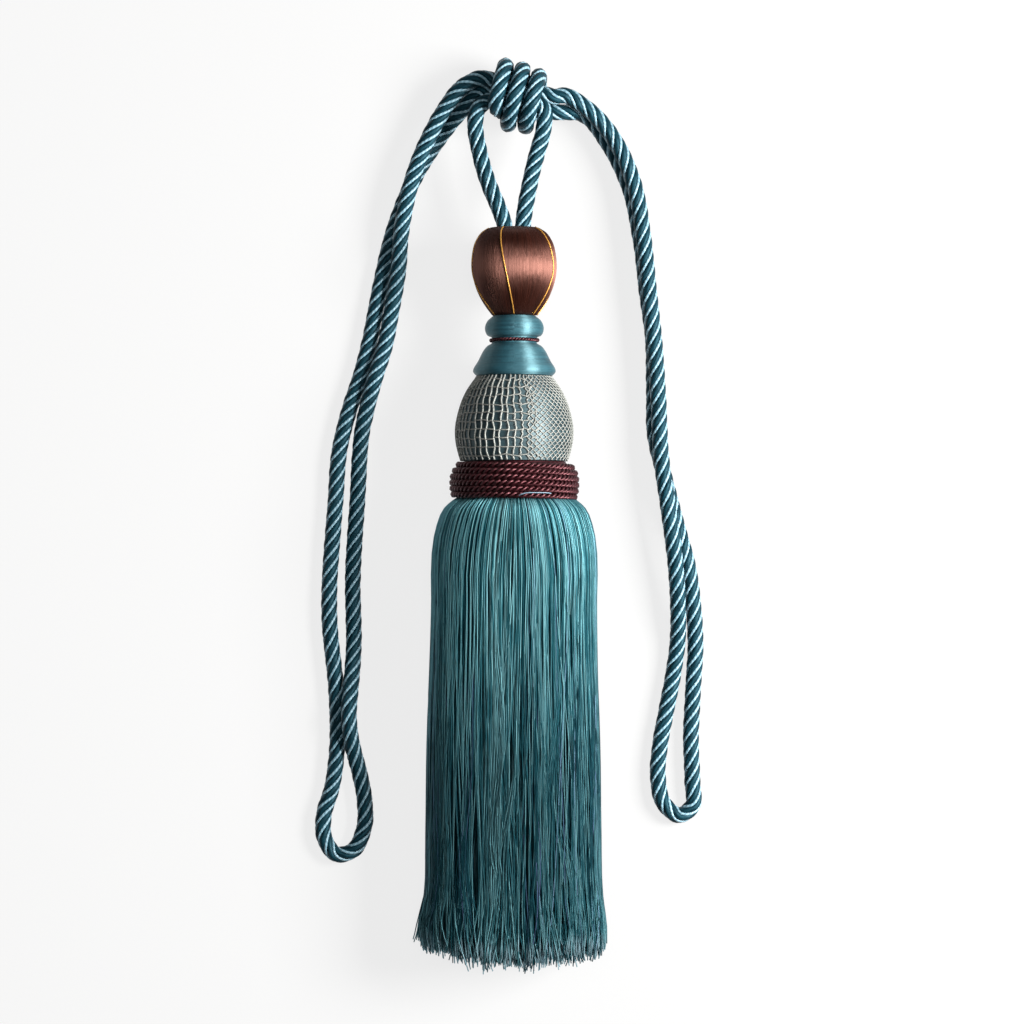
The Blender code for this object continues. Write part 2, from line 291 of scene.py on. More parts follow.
# %% Smooth lines
def smooth_line(route, steps=12):
    """Points on a smooth curve through a route."""
    points = np.array(route, dtype=float)
    chords = np.linalg.norm(np.diff(points, axis=0), axis=1)[:, None]
    runs = np.diff(points, axis=0) / chords
    middle = (runs[:-1] * chords[1:] + runs[1:] * chords[:-1]) / (chords[1:] + chords[:-1])
    slopes = np.concatenate([runs[:1], middle, runs[-1:]])
    t = (np.arange(steps) / steps)[None, :, None]
    start, end = points[:-1, None], points[1:, None]
    bends = chords[:, None] * (
        slopes[:-1, None] * (t**3 - 2 * t**2 + t) + slopes[1:, None] * (t**3 - t**2)
    )
    curve = start * (2 * t**3 - 3 * t**2 + 1) + end * (3 * t**2 - 2 * t**3) + bends
    return np.concatenate([curve.reshape(-1, points.shape[1]), points[-1:]])


def run_lengths(line):
    """How far along the line each of its points is."""
    return np.concatenate([[0.0], np.cumsum(np.linalg.norm(np.diff(line, axis=0), axis=1))])


def even_line(line, step):
    """The same line with its points a step apart."""
    runs = run_lengths(line)
    wanted = np.linspace(0.0, runs[-1], max(2, round(runs[-1] / step)) + 1)
    return np.stack([np.interp(wanted, runs, axis) for axis in line.T], axis=1)


# %% Tubes round lines
def unit(vectors):
    """The same directions, each one long."""
    return vectors / np.linalg.norm(vectors, axis=-1, keepdims=True)


def across_lines(lines):
    """Two directions across each line at each point, carried along without turning round the line."""
    along = unit(np.gradient(lines, axis=1))
    first = np.empty_like(along)
    side = np.where(abs(along[:, 0, 2:]) < 0.8, [[0.0, 0.0, 1.0]], [[1.0, 0.0, 0.0]])
    for i in range(along.shape[1]):
        side = unit(side - (side * along[:, i]).sum(-1, keepdims=True) * along[:, i])
        first[:, i] = side
    return first, np.cross(along, first)


def tube_rings(lines, radius, sides):
    """A ring of points round each point of each line."""
    first, second = across_lines(lines)
    turns = WHOLE_TURN * np.arange(sides) / sides
    ring = np.cos(turns)[:, None] * first[:, :, None] + np.sin(turns)[:, None] * second[:, :, None]
    thick = np.broadcast_to(np.asarray(radius, dtype=float), lines.shape[:2])[:, :, None, None]
    return lines[:, :, None] + thick * ring


def tube_faces(number):
    """The sides of tubes whose points have these numbers, and then a cap for each of their ends."""
    after = np.roll(number, -1, axis=2)
    quads = np.stack([number[:, :-1], after[:, :-1], after[:, 1:], number[:, 1:]], axis=-1)
    return quads.reshape(-1, 4).tolist() + number[:, 0, ::-1].tolist() + number[:, -1].tolist()


# %% [markdown]
# A mesh keeps its maps corner by corner, in the order of its faces: here all the sides, then the caps at
# the near ends, then those at the far ends. The map "lay" is what the finishes read. A second map, OFBake,
# is for painting them into a picture, so its sides may not overlap. There each thread is cut into runs, and
# each run is an upright strip.

# %% The threads' two maps
STRIP_MARGIN = 0.1
STRIP_END_MARGIN = 0.02


def corners_round(shape):
    """How far round its tube each corner of each side is, from 0 to 1."""
    count, points, sides = shape
    u = np.broadcast_to(np.arange(sides) / sides, (count, points - 1, sides))
    return np.stack([u, u + 1 / sides, u + 1 / sides, u], axis=-1)


def lay_corners(lines, sides):
    """The map lay: round the thread from 0 to 1, and metres along it."""
    shape = (*lines.shape[:2], sides)
    step = np.linalg.norm(np.diff(lines, axis=1), axis=2)
    runs = np.concatenate([np.zeros((len(lines), 1)), np.cumsum(step, axis=1)], axis=1)
    v = np.broadcast_to(runs[:, :, None], shape)
    v = np.stack([v[:, :-1], v[:, :-1], v[:, 1:], v[:, 1:]], axis=-1)
    near = np.zeros((len(lines), sides, 2))
    far = near + [0.0, 1.0] * runs[:, -1:, None]
    round_and_along = np.stack([corners_round(shape), v], axis=-1)
    return np.concatenate([part.reshape(-1, 2) for part in (round_and_along, near, far)])


def strip_corners(shape, cuts, rows):
    """The map OFBake, with each thread cut into runs and the runs set side by side in rows."""
    count, points, _ = shape
    run = np.minimum(np.arange(points - 1) * cuts // (points - 1), cuts - 1)
    begin = np.array([np.flatnonzero(run == k)[0] for k in range(cuts)])[run]
    size = np.bincount(run)[run]
    part = (np.arange(points - 1) - begin) / size
    columns = math.ceil(count * cuts / rows)
    index = np.arange(count)[:, None] * cuts + run
    column, row = index % columns, index // columns
    inside = STRIP_MARGIN + (1 - 2 * STRIP_MARGIN) * corners_round(shape)
    u = (column[:, :, None, None] + inside) / columns
    tall = np.stack([part, part, part + 1 / size, part + 1 / size], axis=-1)[None, :, None]
    inside = STRIP_END_MARGIN + (1 - 2 * STRIP_END_MARGIN) * tall
    v = np.broadcast_to((row[:, :, None, None] + inside) / rows, u.shape)
    flat = np.stack([u, v], axis=-1)
    return np.concatenate([part.reshape(-1, 2) for part in (flat, flat[:, 0, :, 0], flat[:, -1, :, 2])])


# %% Threads that become a piece
def on_every_point(value, shape):
    """A number of each thread, or one for each point of its line, on every point of its tube."""
    value = np.asarray(value, dtype=float).reshape(shape[0], -1)
    return np.broadcast_to(value[:, :, None], shape).reshape(-1)


def placed(name, data):
    """Puts a mesh into the scene as an object, and prints how many triangles it has."""
    made = bpy.data.objects.new(name, data)
    bpy.context.scene.collection.objects.link(made)
    triangles = sum(len(face.vertices) - 2 for face in data.polygons)
    print(f"{name}: {triangles} triangles")
    return made


def set_map(data, name, corners):
    """Gives a mesh a map, from a place for each corner of its faces."""
    data.uv_layers.new(name=name).uv.foreach_set("vector", corners.ravel().astype(np.float32))


class Threads:
    """Batches of threads that become one piece."""

    def __init__(self):
        self.places, self.faces, self.finishes, self.marks = [], [], [], []
        self.lays, self.strips, self.shares = [], [], []
        self.total = 0

    def lay(self, lines, radius, sides, finish=0, cuts=1, rows=1, **marks):
        """Adds tubes round lines of shape (count, points, 3), with closed ends."""
        lines = np.asarray(lines, dtype=float)
        count, points = lines.shape[:2]
        shape = (count, points, sides)
        number = self.total + np.arange(count * points * sides).reshape(shape)
        self.places.append(tube_rings(lines, radius, sides).reshape(-1, 3))
        self.faces += tube_faces(number)
        self.total += number.size
        self.finishes.append(np.full(count * (points - 1) * sides + 2 * count, finish))
        self.marks.append({name: on_every_point(value, shape) for name, value in marks.items()})
        self.lays.append(lay_corners(lines, sides))
        self.strips.append(strip_corners(shape, cuts, rows))
        self.shares.append(math.ceil(count * cuts / rows) * float(np.mean(radius)))

    def piece(self, name, finishes):
        """Makes the object of all batches, with its maps, marks and finishes."""
        data = bpy.data.meshes.new(name)
        data.from_pydata(np.concatenate(self.places).tolist(), [], self.faces)
        for finish in finishes:
            data.materials.append(finish.material)
        data.polygons.foreach_set("material_index", np.concatenate(self.finishes).astype(np.int32))
        set_map(data, "lay", np.concatenate(self.lays))

        # In the map OFBake each batch gets a width to match its number of strips and their thickness.
        shares = np.array(self.shares) / sum(self.shares)
        starts = np.cumsum(shares) - shares
        batches = zip(self.strips, shares, starts)
        strips = [flat * (share, 1.0) + (start, 0.0) for flat, share, start in batches]
        set_map(data, "OFBake", np.concatenate(strips))
        for mark_name in self.marks[0]:
            values = np.concatenate([batch[mark_name] for batch in self.marks]).astype(np.float32)
            data.attributes.new(mark_name, "FLOAT", "POINT").data.foreach_set("value", values)
        data.shade_smooth()
        return placed(name, data)


# %% [markdown]
# ## The rope
#
# The rope is four dark strands laid together to the right, with a fine pale cord in each of the four
# grooves. Carving a pattern into one thick tube would look flat at its edge, so every strand is a tube of
# its own that winds round the rope's middle line, and the pale cords wind with them. The strands' fibres
# are a finish: fine noise, stretched along each of them.

# %% The dark strands' finish
strand_finish = Finish("dark_strand")
fibres = lay_map(strand_finish, 9.0, 260.0, 40.0 * mark(strand_finish, "chance"))
fibre_shade = cloudy(strand_finish, fibres, detail=3.0)
strand_tone = spread(strand_finish, fibre_shade, 0.3, 0.72)
strand_finish.shade(
    Base_Color=mixed(strand_finish, strand_tone, tint(0.0006, 0.005, 0.009), tint(0.004, 0.03, 0.043)),
    Roughness=0.42 + 0.2 * strand_tone,
    Normal=raised(strand_finish, fibre_shade, 0.25 * MM),
    Specular_IOR_Level=0.25,
    Specular_Tint=tint(0.35, 0.8, 1.0),
)

# %% [markdown]
# The pale cord is fine plies twisted together, too fine to model. The turn round the cord plus the length
# along it is the same all along a ply, so the sine of that sum gives the plies' ridges. They are a real
# bump, and the colour is painted darker in the grooves between them, as painted shade.

# %% The pale cord's finish
PLIES_PER_METRE = 520.0

pale_finish = Finish("pale_cord")
ply_round, ply_along = x_and_y(pale_finish, lay_map(pale_finish, WHOLE_TURN, WHOLE_TURN * PLIES_PER_METRE))
ply_ridge_shade = (ply_round + ply_along).sine() * 0.5 + 0.5
pale_finish.shade(
    # Darker in the grooves between the plies: painted shade.
    Base_Color=mixed(pale_finish, ply_ridge_shade, tint(0.12, 0.225, 0.285), tint(0.21, 0.345, 0.41)),
    Roughness=0.4,
    Normal=raised(pale_finish, ply_ridge_shade, 0.05 * MM),
)

# %% Laying a rope
ROPE_DIAMETER = 7 * MM
ROPE_LEAD = 24.8 * MM
ROPE_STRANDS = 4
STRAND_RADIUS, STRAND_AWAY, STRAND_SIDES = 1.5 * MM, 2.0 * MM, 8
PALE_RADIUS, PALE_AWAY, PALE_SIDES = 0.7 * MM, 2.7 * MM, 5


def wound(line, away, lead, start):
    """A line that winds round another at a distance, one turn to the right for each lead."""
    first, second = (side[0] for side in across_lines(line[None]))
    turns = WHOLE_TURN * (run_lengths(line) / lead + start)
    return line + away * (np.cos(turns)[:, None] * first + np.sin(turns)[:, None] * second)


def laid_rope(name, route, step=0.9 * MM, cuts=6):
    """A rope along a route, and the line that its middle follows."""
    line = even_line(smooth_line(route), step)
    line[:, 2] = np.maximum(line[:, 2], ROPE_DIAMETER / 2)
    starts = np.arange(ROPE_STRANDS) / ROPE_STRANDS
    strands = [wound(line, STRAND_AWAY, ROPE_LEAD, start) for start in starts]
    pale = [wound(line, PALE_AWAY, ROPE_LEAD, start + 0.5 / ROPE_STRANDS) for start in starts]
    rope = Threads()
    rope.lay(strands, STRAND_RADIUS, STRAND_SIDES, finish=0, cuts=cuts, chance=starts)
    rope.lay(pale, PALE_RADIUS, PALE_SIDES, finish=1, cuts=cuts, chance=starts)
    return rope.piece(name, [strand_finish, pale_finish]), line


print("rope:", ROPE_STRANDS, "strands, one turn in", round(ROPE_LEAD / MM, 1), "mm")


# %% [markdown]
# ## The four cords
#
# The tie's rope leaves the knot on both sides and ends in a loop on each side. The hanger is a shorter
# piece of the same rope: it comes out of the crown, goes through the knot and back into the crown. The
# knot's three turns are the fourth. A simulation would not settle in just these curves, and the picture
# shows how they lie, so their routes are given. They are those of the imported model's tubes,
# lengthened into the knot and the crown, where the ends are hidden. All of it is shown, so nothing is
# coiled away.

# %% Routes of the tie's rope, in millimetres
LEFT_ROUTE = (
    (-20.0, 217.2, 14.2), (-27.4, 208.5, 12.6), (-34.6, 196.0, 11.2), (-41.8, 177.9, 10.9),
    (-46.3, 156.8, 10.3), (-47.8, 139.2, 8.4), (-50.7, 122.5, 6.5), (-53.3, 108.5, 6.7),
    (-58.0, 92.8, 7.7), (-62.9, 73.0, 5.3), (-65.2, 42.7, 3.5), (-67.2, 8.0, 3.5),
    (-66.8, -20.0, 3.7), (-68.0, -38.7, 7.2), (-68.6, -47.0, 9.1), (-68.1, -55.5, 8.7),
    (-66.6, -64.1, 6.0), (-64.3, -73.2, 3.8), (-62.2, -84.7, 3.5), (-62.4, -96.6, 3.5),
    (-67.3, -106.2, 3.5), (-74.0, -107.8, 3.5), (-79.2, -100.9, 3.5), (-79.6, -91.9, 3.5),
    (-76.0, -79.2, 3.5), (-74.1, -65.6, 3.5), (-74.2, -39.0, 3.5), (-77.1, -8.3, 3.5),
    (-74.5, 42.7, 3.5), (-72.8, 63.9, 3.5), (-68.4, 81.8, 3.5), (-63.9, 95.3, 3.5),
    (-60.4, 108.5, 3.5), (-55.5, 133.4, 3.5), (-49.7, 157.4, 3.5), (-37.4, 185.8, 3.5),
    (-28.6, 198.6, 5.2), (-20.2, 208.3, 8.2),
)
RIGHT_ROUTE = (
    (22.1, 213.2, 14.6), (30.6, 208.9, 13.3), (38.4, 201.9, 11.8), (46.1, 190.6, 11.1),
    (52.4, 174.5, 10.9), (55.8, 154.7, 10.9), (58.3, 131.0, 10.9), (60.6, 109.4, 10.9),
    (62.3, 84.1, 10.9), (63.4, 61.7, 10.9), (66.3, 40.5, 10.8), (68.9, 21.5, 10.1),
    (70.3, 6.7, 8.7), (70.8, -4.8, 7.2), (70.7, -16.8, 4.6), (69.0, -30.4, 3.5),
    (65.8, -47.3, 3.5), (63.1, -62.6, 3.5), (62.4, -75.8, 3.5), (65.3, -86.8, 3.5),
    (71.6, -91.2, 3.5), (76.8, -87.6, 3.5), (77.0, -76.8, 3.5), (76.4, -59.2, 3.5),
    (77.3, -38.0, 3.5), (78.3, -16.8, 3.5), (77.4, -1.9, 3.5), (75.2, 14.2, 3.5),
    (70.1, 33.3, 3.5), (65.0, 53.3, 3.5), (61.1, 70.3, 3.5), (60.7, 89.4, 3.5),
    (60.1, 112.8, 3.5), (57.8, 129.7, 3.5), (55.0, 153.1, 3.5), (49.8, 176.6, 3.5),
    (41.6, 193.2, 4.5), (30.4, 205.9, 8.2),
)

# %% Through the knot, and round to the loops
KNOT_CENTRE = np.array((2.3, 212.4, 15.0)) * MM
KNOT_SLOPE = math.radians(-14.8)
KNOT_LENGTH = 21.4 * MM
STRAIGHT_ON = 4.75 * MM
TIE_START = 0.2 * MM

# Each lane is a place in the knot where one of the two ropes lies: sideways of its axis, and at a height.
FRONT_LANE = (4.3 * MM, 15.0 * MM)
BACK_LANE = (-1.6 * MM, 10.9 * MM)


def knot_point(along, sideways, height):
    """A place by the knot: along its own axis from its middle, sideways of the axis, and at a height."""
    c, s = math.cos(KNOT_SLOPE), math.sin(KNOT_SLOPE)
    x = KNOT_CENTRE[0] + along * c - sideways * s
    y = KNOT_CENTRE[1] + along * s + sideways * c
    return (x, y, height)


def doubled_route(route, end):
    """A route from the knot's middle out at one of its ends, -1 or 1, round its loop and back."""
    stops = (TIE_START, KNOT_LENGTH / 4, KNOT_LENGTH / 2, KNOT_LENGTH / 2 + STRAIGHT_ON)
    out = [knot_point(end * along, *FRONT_LANE) for along in stops]
    back = [knot_point(end * along, *BACK_LANE) for along in reversed(stops)]
    return out + [tuple(np.array(point) * MM) for point in route] + back


def free_cord(piece, line, cad_nodes):
    """Hangs a cord that starts and ends in the tassel on the root, and hides the plain tubes it stands for.
    """
    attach(piece, "root")
    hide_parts(*cad_nodes)


free_cord(*laid_rope("left_rope", doubled_route(LEFT_ROUTE, -1)), ["rope_left"])
free_cord(*laid_rope("right_rope", doubled_route(RIGHT_ROUTE, 1)), ["rope_right"])

# %% [markdown]
# ### The hanger
#
# The tassel hangs from two legs of rope. They are the two ends of one piece, which passes through the
# knot's turns. Both ends go down into the crown's hole, where those of a real one are knotted out of sight.

# %% The hanger, from the crown through the knot and back
HANGER_ROUTE = (
    (-2.5, 149.5, 24.9), (-2.7, 157.5, 24.4), (-5.3, 165.4, 23.7), (-9.0, 174.3, 22.0),
    (-11.7, 182.6, 20.2), (-13.6, 190.6, 18.9), (-14.9, 198.0, 18.5), (-14.9, 203.4, 18.8),
    (-13.2, 208.0, 19.1), (-8.8, 210.6, 18.8), (-2.0, 210.0, 18.3), (4.0, 210.2, 18.4),
    (9.4, 209.8, 18.9), (12.9, 208.0, 19.6), (14.2, 204.6, 19.8), (13.9, 200.6, 19.4),
    (13.2, 196.0, 18.7), (11.6, 190.6, 18.9), (9.5, 182.6, 20.2), (7.7, 174.3, 22.0),
    (6.1, 165.8, 23.7), (5.0, 157.2, 24.4), (4.6, 149.5, 24.9),
)
free_cord(
    *laid_rope("hanger_rope", np.array(HANGER_ROUTE) * MM, cuts=2), ["hanger_left", "hanger_right"]
)

# %% [markdown]
# ### The knot
#
# The knot is three turns of rope round the others. A plain coil would slope all the way round, but a pulled
# knot does not: in front its turns lie straight across, side by side, and each moves on to the next one at
# the back. Both ends are tucked in under the turns. So the route is worked out turn by turn.

# %% The knot's turns
TURN_SIDEWAYS = (11.4 * MM, 11.9 * MM, 10.9 * MM)
TURN_HEIGHT = 10.8 * MM
TURN_PITCH = 7.35 * MM
TURN_SHIFT = -0.45 * MM
TURN_POINTS = 24
FIRST_TURN, TUCKED_UNTIL = -0.06, 0.2
TUCKED_FROM, LAST_TURN = 2.55, 2.9
FIRST_END_SHIFT, LAST_END_SHIFT = 5.5 * MM, -2.0 * MM
TUCKED_IN = 0.5


def eased(share):
    """A share from 0 to 1 with a soft start and end."""
    share = min(1.0, max(0.0, share))
    return share**2 * (3 - 2 * share)


def knot_route():
    """Points of the turns: from the tucked end, up over the front, down behind to the next, and on."""
    points = []
    for i in range(round((LAST_TURN - FIRST_TURN) * TURN_POINTS) + 1):
        turns = FIRST_TURN + i / TURN_POINTS
        whole, part = divmod(max(turns, 0.0), 1.0)
        first_tuck = eased((TUCKED_UNTIL - turns) / (TUCKED_UNTIL - FIRST_TURN))
        last_tuck = eased((turns - TUCKED_FROM) / (LAST_TURN - TUCKED_FROM))
        along = (whole - 1 + eased((part - 0.5) * 2)) * TURN_PITCH + TURN_SHIFT
        along += FIRST_END_SHIFT * first_tuck + LAST_END_SHIFT * last_tuck
        reach = 1 - TUCKED_IN * max(first_tuck, last_tuck)
        wide = TURN_SIDEWAYS[min(2, round(max(turns, 0.0)))] * reach
        angle = math.pi - WHOLE_TURN * turns
        height = KNOT_CENTRE[2] + TURN_HEIGHT * reach * math.sin(angle)
        points.append(knot_point(along, wide * math.cos(angle), height))
    return points


free_cord(*laid_rope("knot_rope", knot_route(), step=0.7 * MM, cuts=2), ["knot"])

# %% [markdown]
# ## The head
#
# Under the thread a tassel's head is turned wood: a bead for the crown, a spool for the collar, an egg, and
# a drum for the band. All four turn about one stiff axis, which the skirt's weight holds almost level. Each
# piece is drawn in the axis's own frame, where Z runs along it, the camera's side is -Y and a turn is
# measured from there. An outline spun round would do for bare wood. Thread needs ridges, so rings of points
# are worked out here and joined to one closed skin.

# %% The head's frame
HEAD_FOOT = Vector((1.4, 42.6, 28.1)) * MM
HEAD_DIP = math.radians(0.5)


def finished(piece, slot, *cad_nodes, on_head=False):
    """Lets a piece ride on the tassel and hides the plain solids it stands for. The slot is not used."""
    if on_head:
        piece.location = HEAD_FOOT
        piece.rotation_euler = (-math.pi / 2 - HEAD_DIP, 0.0, 0.0)
    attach(piece, "root")
    if cad_nodes:
        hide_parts(*cad_nodes)


def head_points(turn, along, radius):
    """Points in the head's frame, from turns in radians and lengths in metres."""
    turn, along, radius = np.broadcast_arrays(turn, along, radius)
    return np.stack([radius * np.sin(turn), -radius * np.cos(turn), along], axis=-1)


def profile(table, step):
    """The smooth outline through a table of (along, radius) in millimetres, as even rows in metres."""
    return even_line(smooth_line(np.array(table) * MM), step)


print("head's foot in mm:", [round(side / MM, 1) for side in HEAD_FOOT])


# %% A closed skin
def skin_faces(rows, columns):
    """The faces between rings of points, and then those round a last point at each end."""
    number = np.arange(rows * columns).reshape(rows, columns)
    after = np.roll(number, -1, axis=1)
    quads = np.stack([number[:-1], after[:-1], after[1:], number[1:]], axis=-1).reshape(-1, 4)
    low = np.stack([after[0], number[0], np.full(columns, rows * columns)], axis=-1)
    high = np.stack([number[-1], after[-1], np.full(columns, rows * columns + 1)], axis=-1)
    return quads.tolist() + low.tolist() + high.tolist()


def skin_corners(runs, columns):
    """The skin's map: round it from 0 to 1, and metres along it."""
    rows = len(runs)
    u = np.broadcast_to(np.arange(columns) / columns, (rows - 1, columns))
    v = np.broadcast_to(runs[:, None], (rows, columns))
    around = np.stack([u, u + 1 / columns, u + 1 / columns, u], axis=-1)
    along = np.stack([v[:-1], v[:-1], v[1:], v[1:]], axis=-1)
    ends = [np.full((3 * columns, 2), (0.5, end)) for end in (0.0, runs[-1])]
    return np.concatenate([np.stack([around, along], axis=-1).reshape(-1, 2), *ends])


def closed_skin(name, rings, finish):
    """A closed surface through rings of shape (rows, columns, 3), drawn together at both ends."""
    rows, columns = rings.shape[:2]
    places = np.concatenate([rings.reshape(-1, 3), [rings[0].mean(axis=0), rings[-1].mean(axis=0)]])
    data = bpy.data.meshes.new(name)
    data.from_pydata(places.tolist(), [], skin_faces(rows, columns))
    runs = run_lengths(rings[:, 0])
    corners = skin_corners(runs, columns)
    set_map(data, "lay", corners)
    set_map(data, "OFBake", corners / (1.0, runs[-1]))
    data.materials.append(finish.material)
    data.shade_smooth()
    return placed(name, data)


# %% [markdown]
# ### The crown
#
# Brown floss is wound over the bead from hole to hole, so its threads run lengthwise and the highlight
# lies across them as one ragged, coppery band. The geometry has a ridge for each bundle of floss. The
# finish adds the single threads, and an anisotropic shine that is wide across the threads.

# %% The crown's floss
floss = Finish("brown_floss")
floss_lay = lay_map(floss, 210.0, 26.0)
floss_fine = cloudy(floss, floss_lay, detail=3.0)
floss_broad = cloudy(floss, lay_map(floss, 34.0, 9.0), detail=1.0)
floss_tone = spread(floss, 0.65 * floss_fine + 0.35 * floss_broad, 0.36, 0.64)
floss_uneven = cloudy(floss, lay_map(floss, 130.0, 150.0), detail=2.0)
floss.shade(
    Base_Color=mixed(floss, floss_tone, tint(0.002, 0.0004, 0.0002), tint(0.016, 0.0036, 0.002)),
    Roughness=0.46 + 0.25 * floss_fine,
    Anisotropic=0.95,
    IOR=1.7,
    Specular_IOR_Level=0.85,
    Specular_Tint=tint(1.0, 0.46, 0.36),
    Normal=raised(floss, 0.4 * floss_fine + 0.6 * floss_uneven, 0.4 * MM),
)

# %% The crown's surface
CROWN_PROFILE = (
    (77.3, 9.3), (81.0, 12.1), (87.0, 15.4), (95.0, 17.5), (101.5, 17.4), (108.0, 15.8), (111.8, 13.2),
    (113.6, 10.4),
)
CROWN_HOLE = ((113.4, 9.4), (112.4, 8.8), (109.5, 8.5), (106.0, 8.3))
FLOSS_BUNDLES = 228
FLOSS_RIDGE = 0.09 * MM
FULL_RIDGE_FROM = 9 * MM


def crown_floss():
    """The crown with a ridge for each bundle, lower where they are drawn together in the hole."""
    chance = np.random.default_rng(11)
    outline = np.concatenate([profile(CROWN_PROFILE, 0.9 * MM), np.array(CROWN_HOLE) * MM])
    ridge = np.zeros(2 * FLOSS_BUNDLES)
    ridge[::2] = FLOSS_RIDGE * chance.uniform(0.5, 1.3, FLOSS_BUNDLES)
    turns = -WHOLE_TURN * np.arange(2 * FLOSS_BUNDLES) / (2 * FLOSS_BUNDLES)
    radius = outline[:, 1:] + ridge * np.minimum(1.0, outline[:, 1:] / FULL_RIDGE_FROM)
    rings = head_points(turns, outline[:, :1], radius)
    return closed_skin("crown_floss", rings, floss)


finished(crown_floss(), "brown_floss", "crown_bead", on_head=True)

# %% [markdown]
# Gold threads lie over the floss, seven of them, none quite straight. Each follows the crown's own outline
# a little above it, from its turn at the bottom through the one at its middle to the one at the top.

# %% The gold threads' finish
gold = Finish("gold_thread")
gold_lay = cloudy(gold, lay_map(gold, 2.0, 900.0), detail=1.0)
gold.shade(
    Base_Color=mixed(gold, gold_lay, tint(0.22, 0.09, 0.01), tint(0.6, 0.31, 0.06)),
    Metallic=0.55,
    Roughness=0.38,
    Normal=raised(gold, gold_lay, 0.08 * MM),
)

# %% The gold threads
# Degrees at the bottom, the middle and the top of each thread.
GOLD_TURNS = (
    (-1, -12, -26), (55, 67, 54), (-60, -82, -88), (96, 112, 104), (141, 160, 150),
    (-112, -128, -118), (-150, -158, -165),
)
GOLD_RADIUS = 0.3 * MM
GOLD_ABOVE = 0.22 * MM
GOLD_EASING = 13


def gold_threads():
    """The threads, with the bend at their middle eased over a few of their points."""
    outline = profile(CROWN_PROFILE, 0.7 * MM)
    share = run_lengths(outline) / run_lengths(outline)[-1]
    easing = np.ones(GOLD_EASING) / GOLD_EASING
    lines = []
    for turns in GOLD_TURNS:
        turn = np.pad(np.radians(np.interp(share, (0.0, 0.5, 1.0), turns)), GOLD_EASING // 2, mode="edge")
        turn = np.convolve(turn, easing, mode="valid")
        lines.append(head_points(turn, outline[:, 0], outline[:, 1] + GOLD_ABOVE))
    threads = Threads()
    threads.lay(lines, GOLD_RADIUS, sides=6)
    return threads.piece("gold_threads", [gold])


finished(gold_threads(), "brown_floss", on_head=True)

# %% [markdown]
# ### The collar and the egg's ground
#
# Both are wound the other way, round and round. A highlight lies across its threads, so here it runs
# lengthwise. The windings are real ridges, three rows of the mesh to a thread, and the anisotropic shine is
# turned by a quarter. The collar is teal, and the satin under the egg's net is greyer.


# %% Satin wound round and round
def satin(name, dark, light, gleam, roughness, drawn_out):
    """Satin from a dark to a light colour. Its highlight has a tint, a width and a long shape."""
    finish = Finish(name)
    streak = cloudy(finish, lay_map(finish, 2.0, 1000.0), detail=2.0)
    cloud = cloudy(finish, lay_map(finish, 6.0, 220.0), detail=2.0)
    uneven = cloudy(finish, lay_map(finish, 24.0, 1000.0), detail=2.0)
    tone = spread(finish, 0.6 * streak + 0.4 * cloud, 0.3, 0.7)
    finish.shade(
        Base_Color=mixed(finish, tone, dark, light),
        Roughness=roughness + 0.12 * streak,
        Anisotropic=drawn_out,
        Anisotropic_Rotation=0.25,
        IOR=1.7,
        Specular_IOR_Level=1.0,
        Specular_Tint=gleam,
        Normal=raised(finish, uneven, 0.2 * MM),
    )
    return finish


teal_satin = satin(
    "teal_satin", dark=tint(0.001, 0.012, 0.02), light=tint(0.017, 0.07, 0.092),
    gleam=tint(0.48, 0.87, 0.96), roughness=0.52, drawn_out=0.8,
)
pale_satin = satin(
    "pale_satin", dark=tint(0.001, 0.007, 0.012), light=tint(0.021, 0.048, 0.056),
    gleam=tint(0.48, 0.6, 0.63), roughness=0.5, drawn_out=0.6,
)

# %% The collar and the egg
WOUND_COLUMNS = 96
WOUND_RIDGE = 0.09
COLLAR_PROFILE = (
    (52.0, 16.0), (53.2, 17.1), (58.3, 15.0), (64.4, 11.2), (65.6, 9.4), (67.8, 9.4), (68.7, 11.2),
    (71.8, 12.3), (74.4, 11.5), (76.9, 8.9),
)
EGG_PROFILE = (
    (16.3, 22.7), (19.0, 23.5), (24.5, 24.7), (30.0, 24.9), (36.2, 23.8), (44.4, 20.8), (51.7, 16.0),
)


def wound_skin(name, table, finish, thread, inset=0.0, seed=0):
    """A turned surface with a low ridge for each turn of a thread of this thickness."""
    outline = profile(table, thread / 3)
    rows = np.arange(len(outline))
    height = np.random.default_rng(seed).uniform(0.5, 1.3, len(outline) // 3 + 1)[rows // 3]
    ridge = np.where(rows % 3 == 1, WOUND_RIDGE * thread * height, 0.0)
    turns = -WHOLE_TURN * np.arange(WOUND_COLUMNS) / WOUND_COLUMNS
    rings = head_points(turns, outline[:, :1], (outline[:, 1] + ridge - inset)[:, None])
    return closed_skin(name, rings, finish)


finished(
    wound_skin("collar_satin", COLLAR_PROFILE, teal_satin, 0.36 * MM, seed=3),
    "teal_satin", "collar", on_head=True,
)
finished(
    wound_skin("egg_ground", EGG_PROFILE, pale_satin, 0.6 * MM, inset=0.75 * MM, seed=4),
    "netted_satin", "egg_bead", on_head=True,
)

# %% [markdown]
# ### The egg's net
#
# A loose net of silver-beige metallic yarn is drawn over the egg: wavy threads run lengthwise, and short
# links join each to the next. On the left the links lie almost level and the gaps are small windows. Round
# to the right the net is drawn close: its threads lie twice as near, zigzag and meet, and the windows are
# diamonds. A pattern in the satin's colour would do from afar, but it would have no shadows under it. So
# every thread and link is a tube.

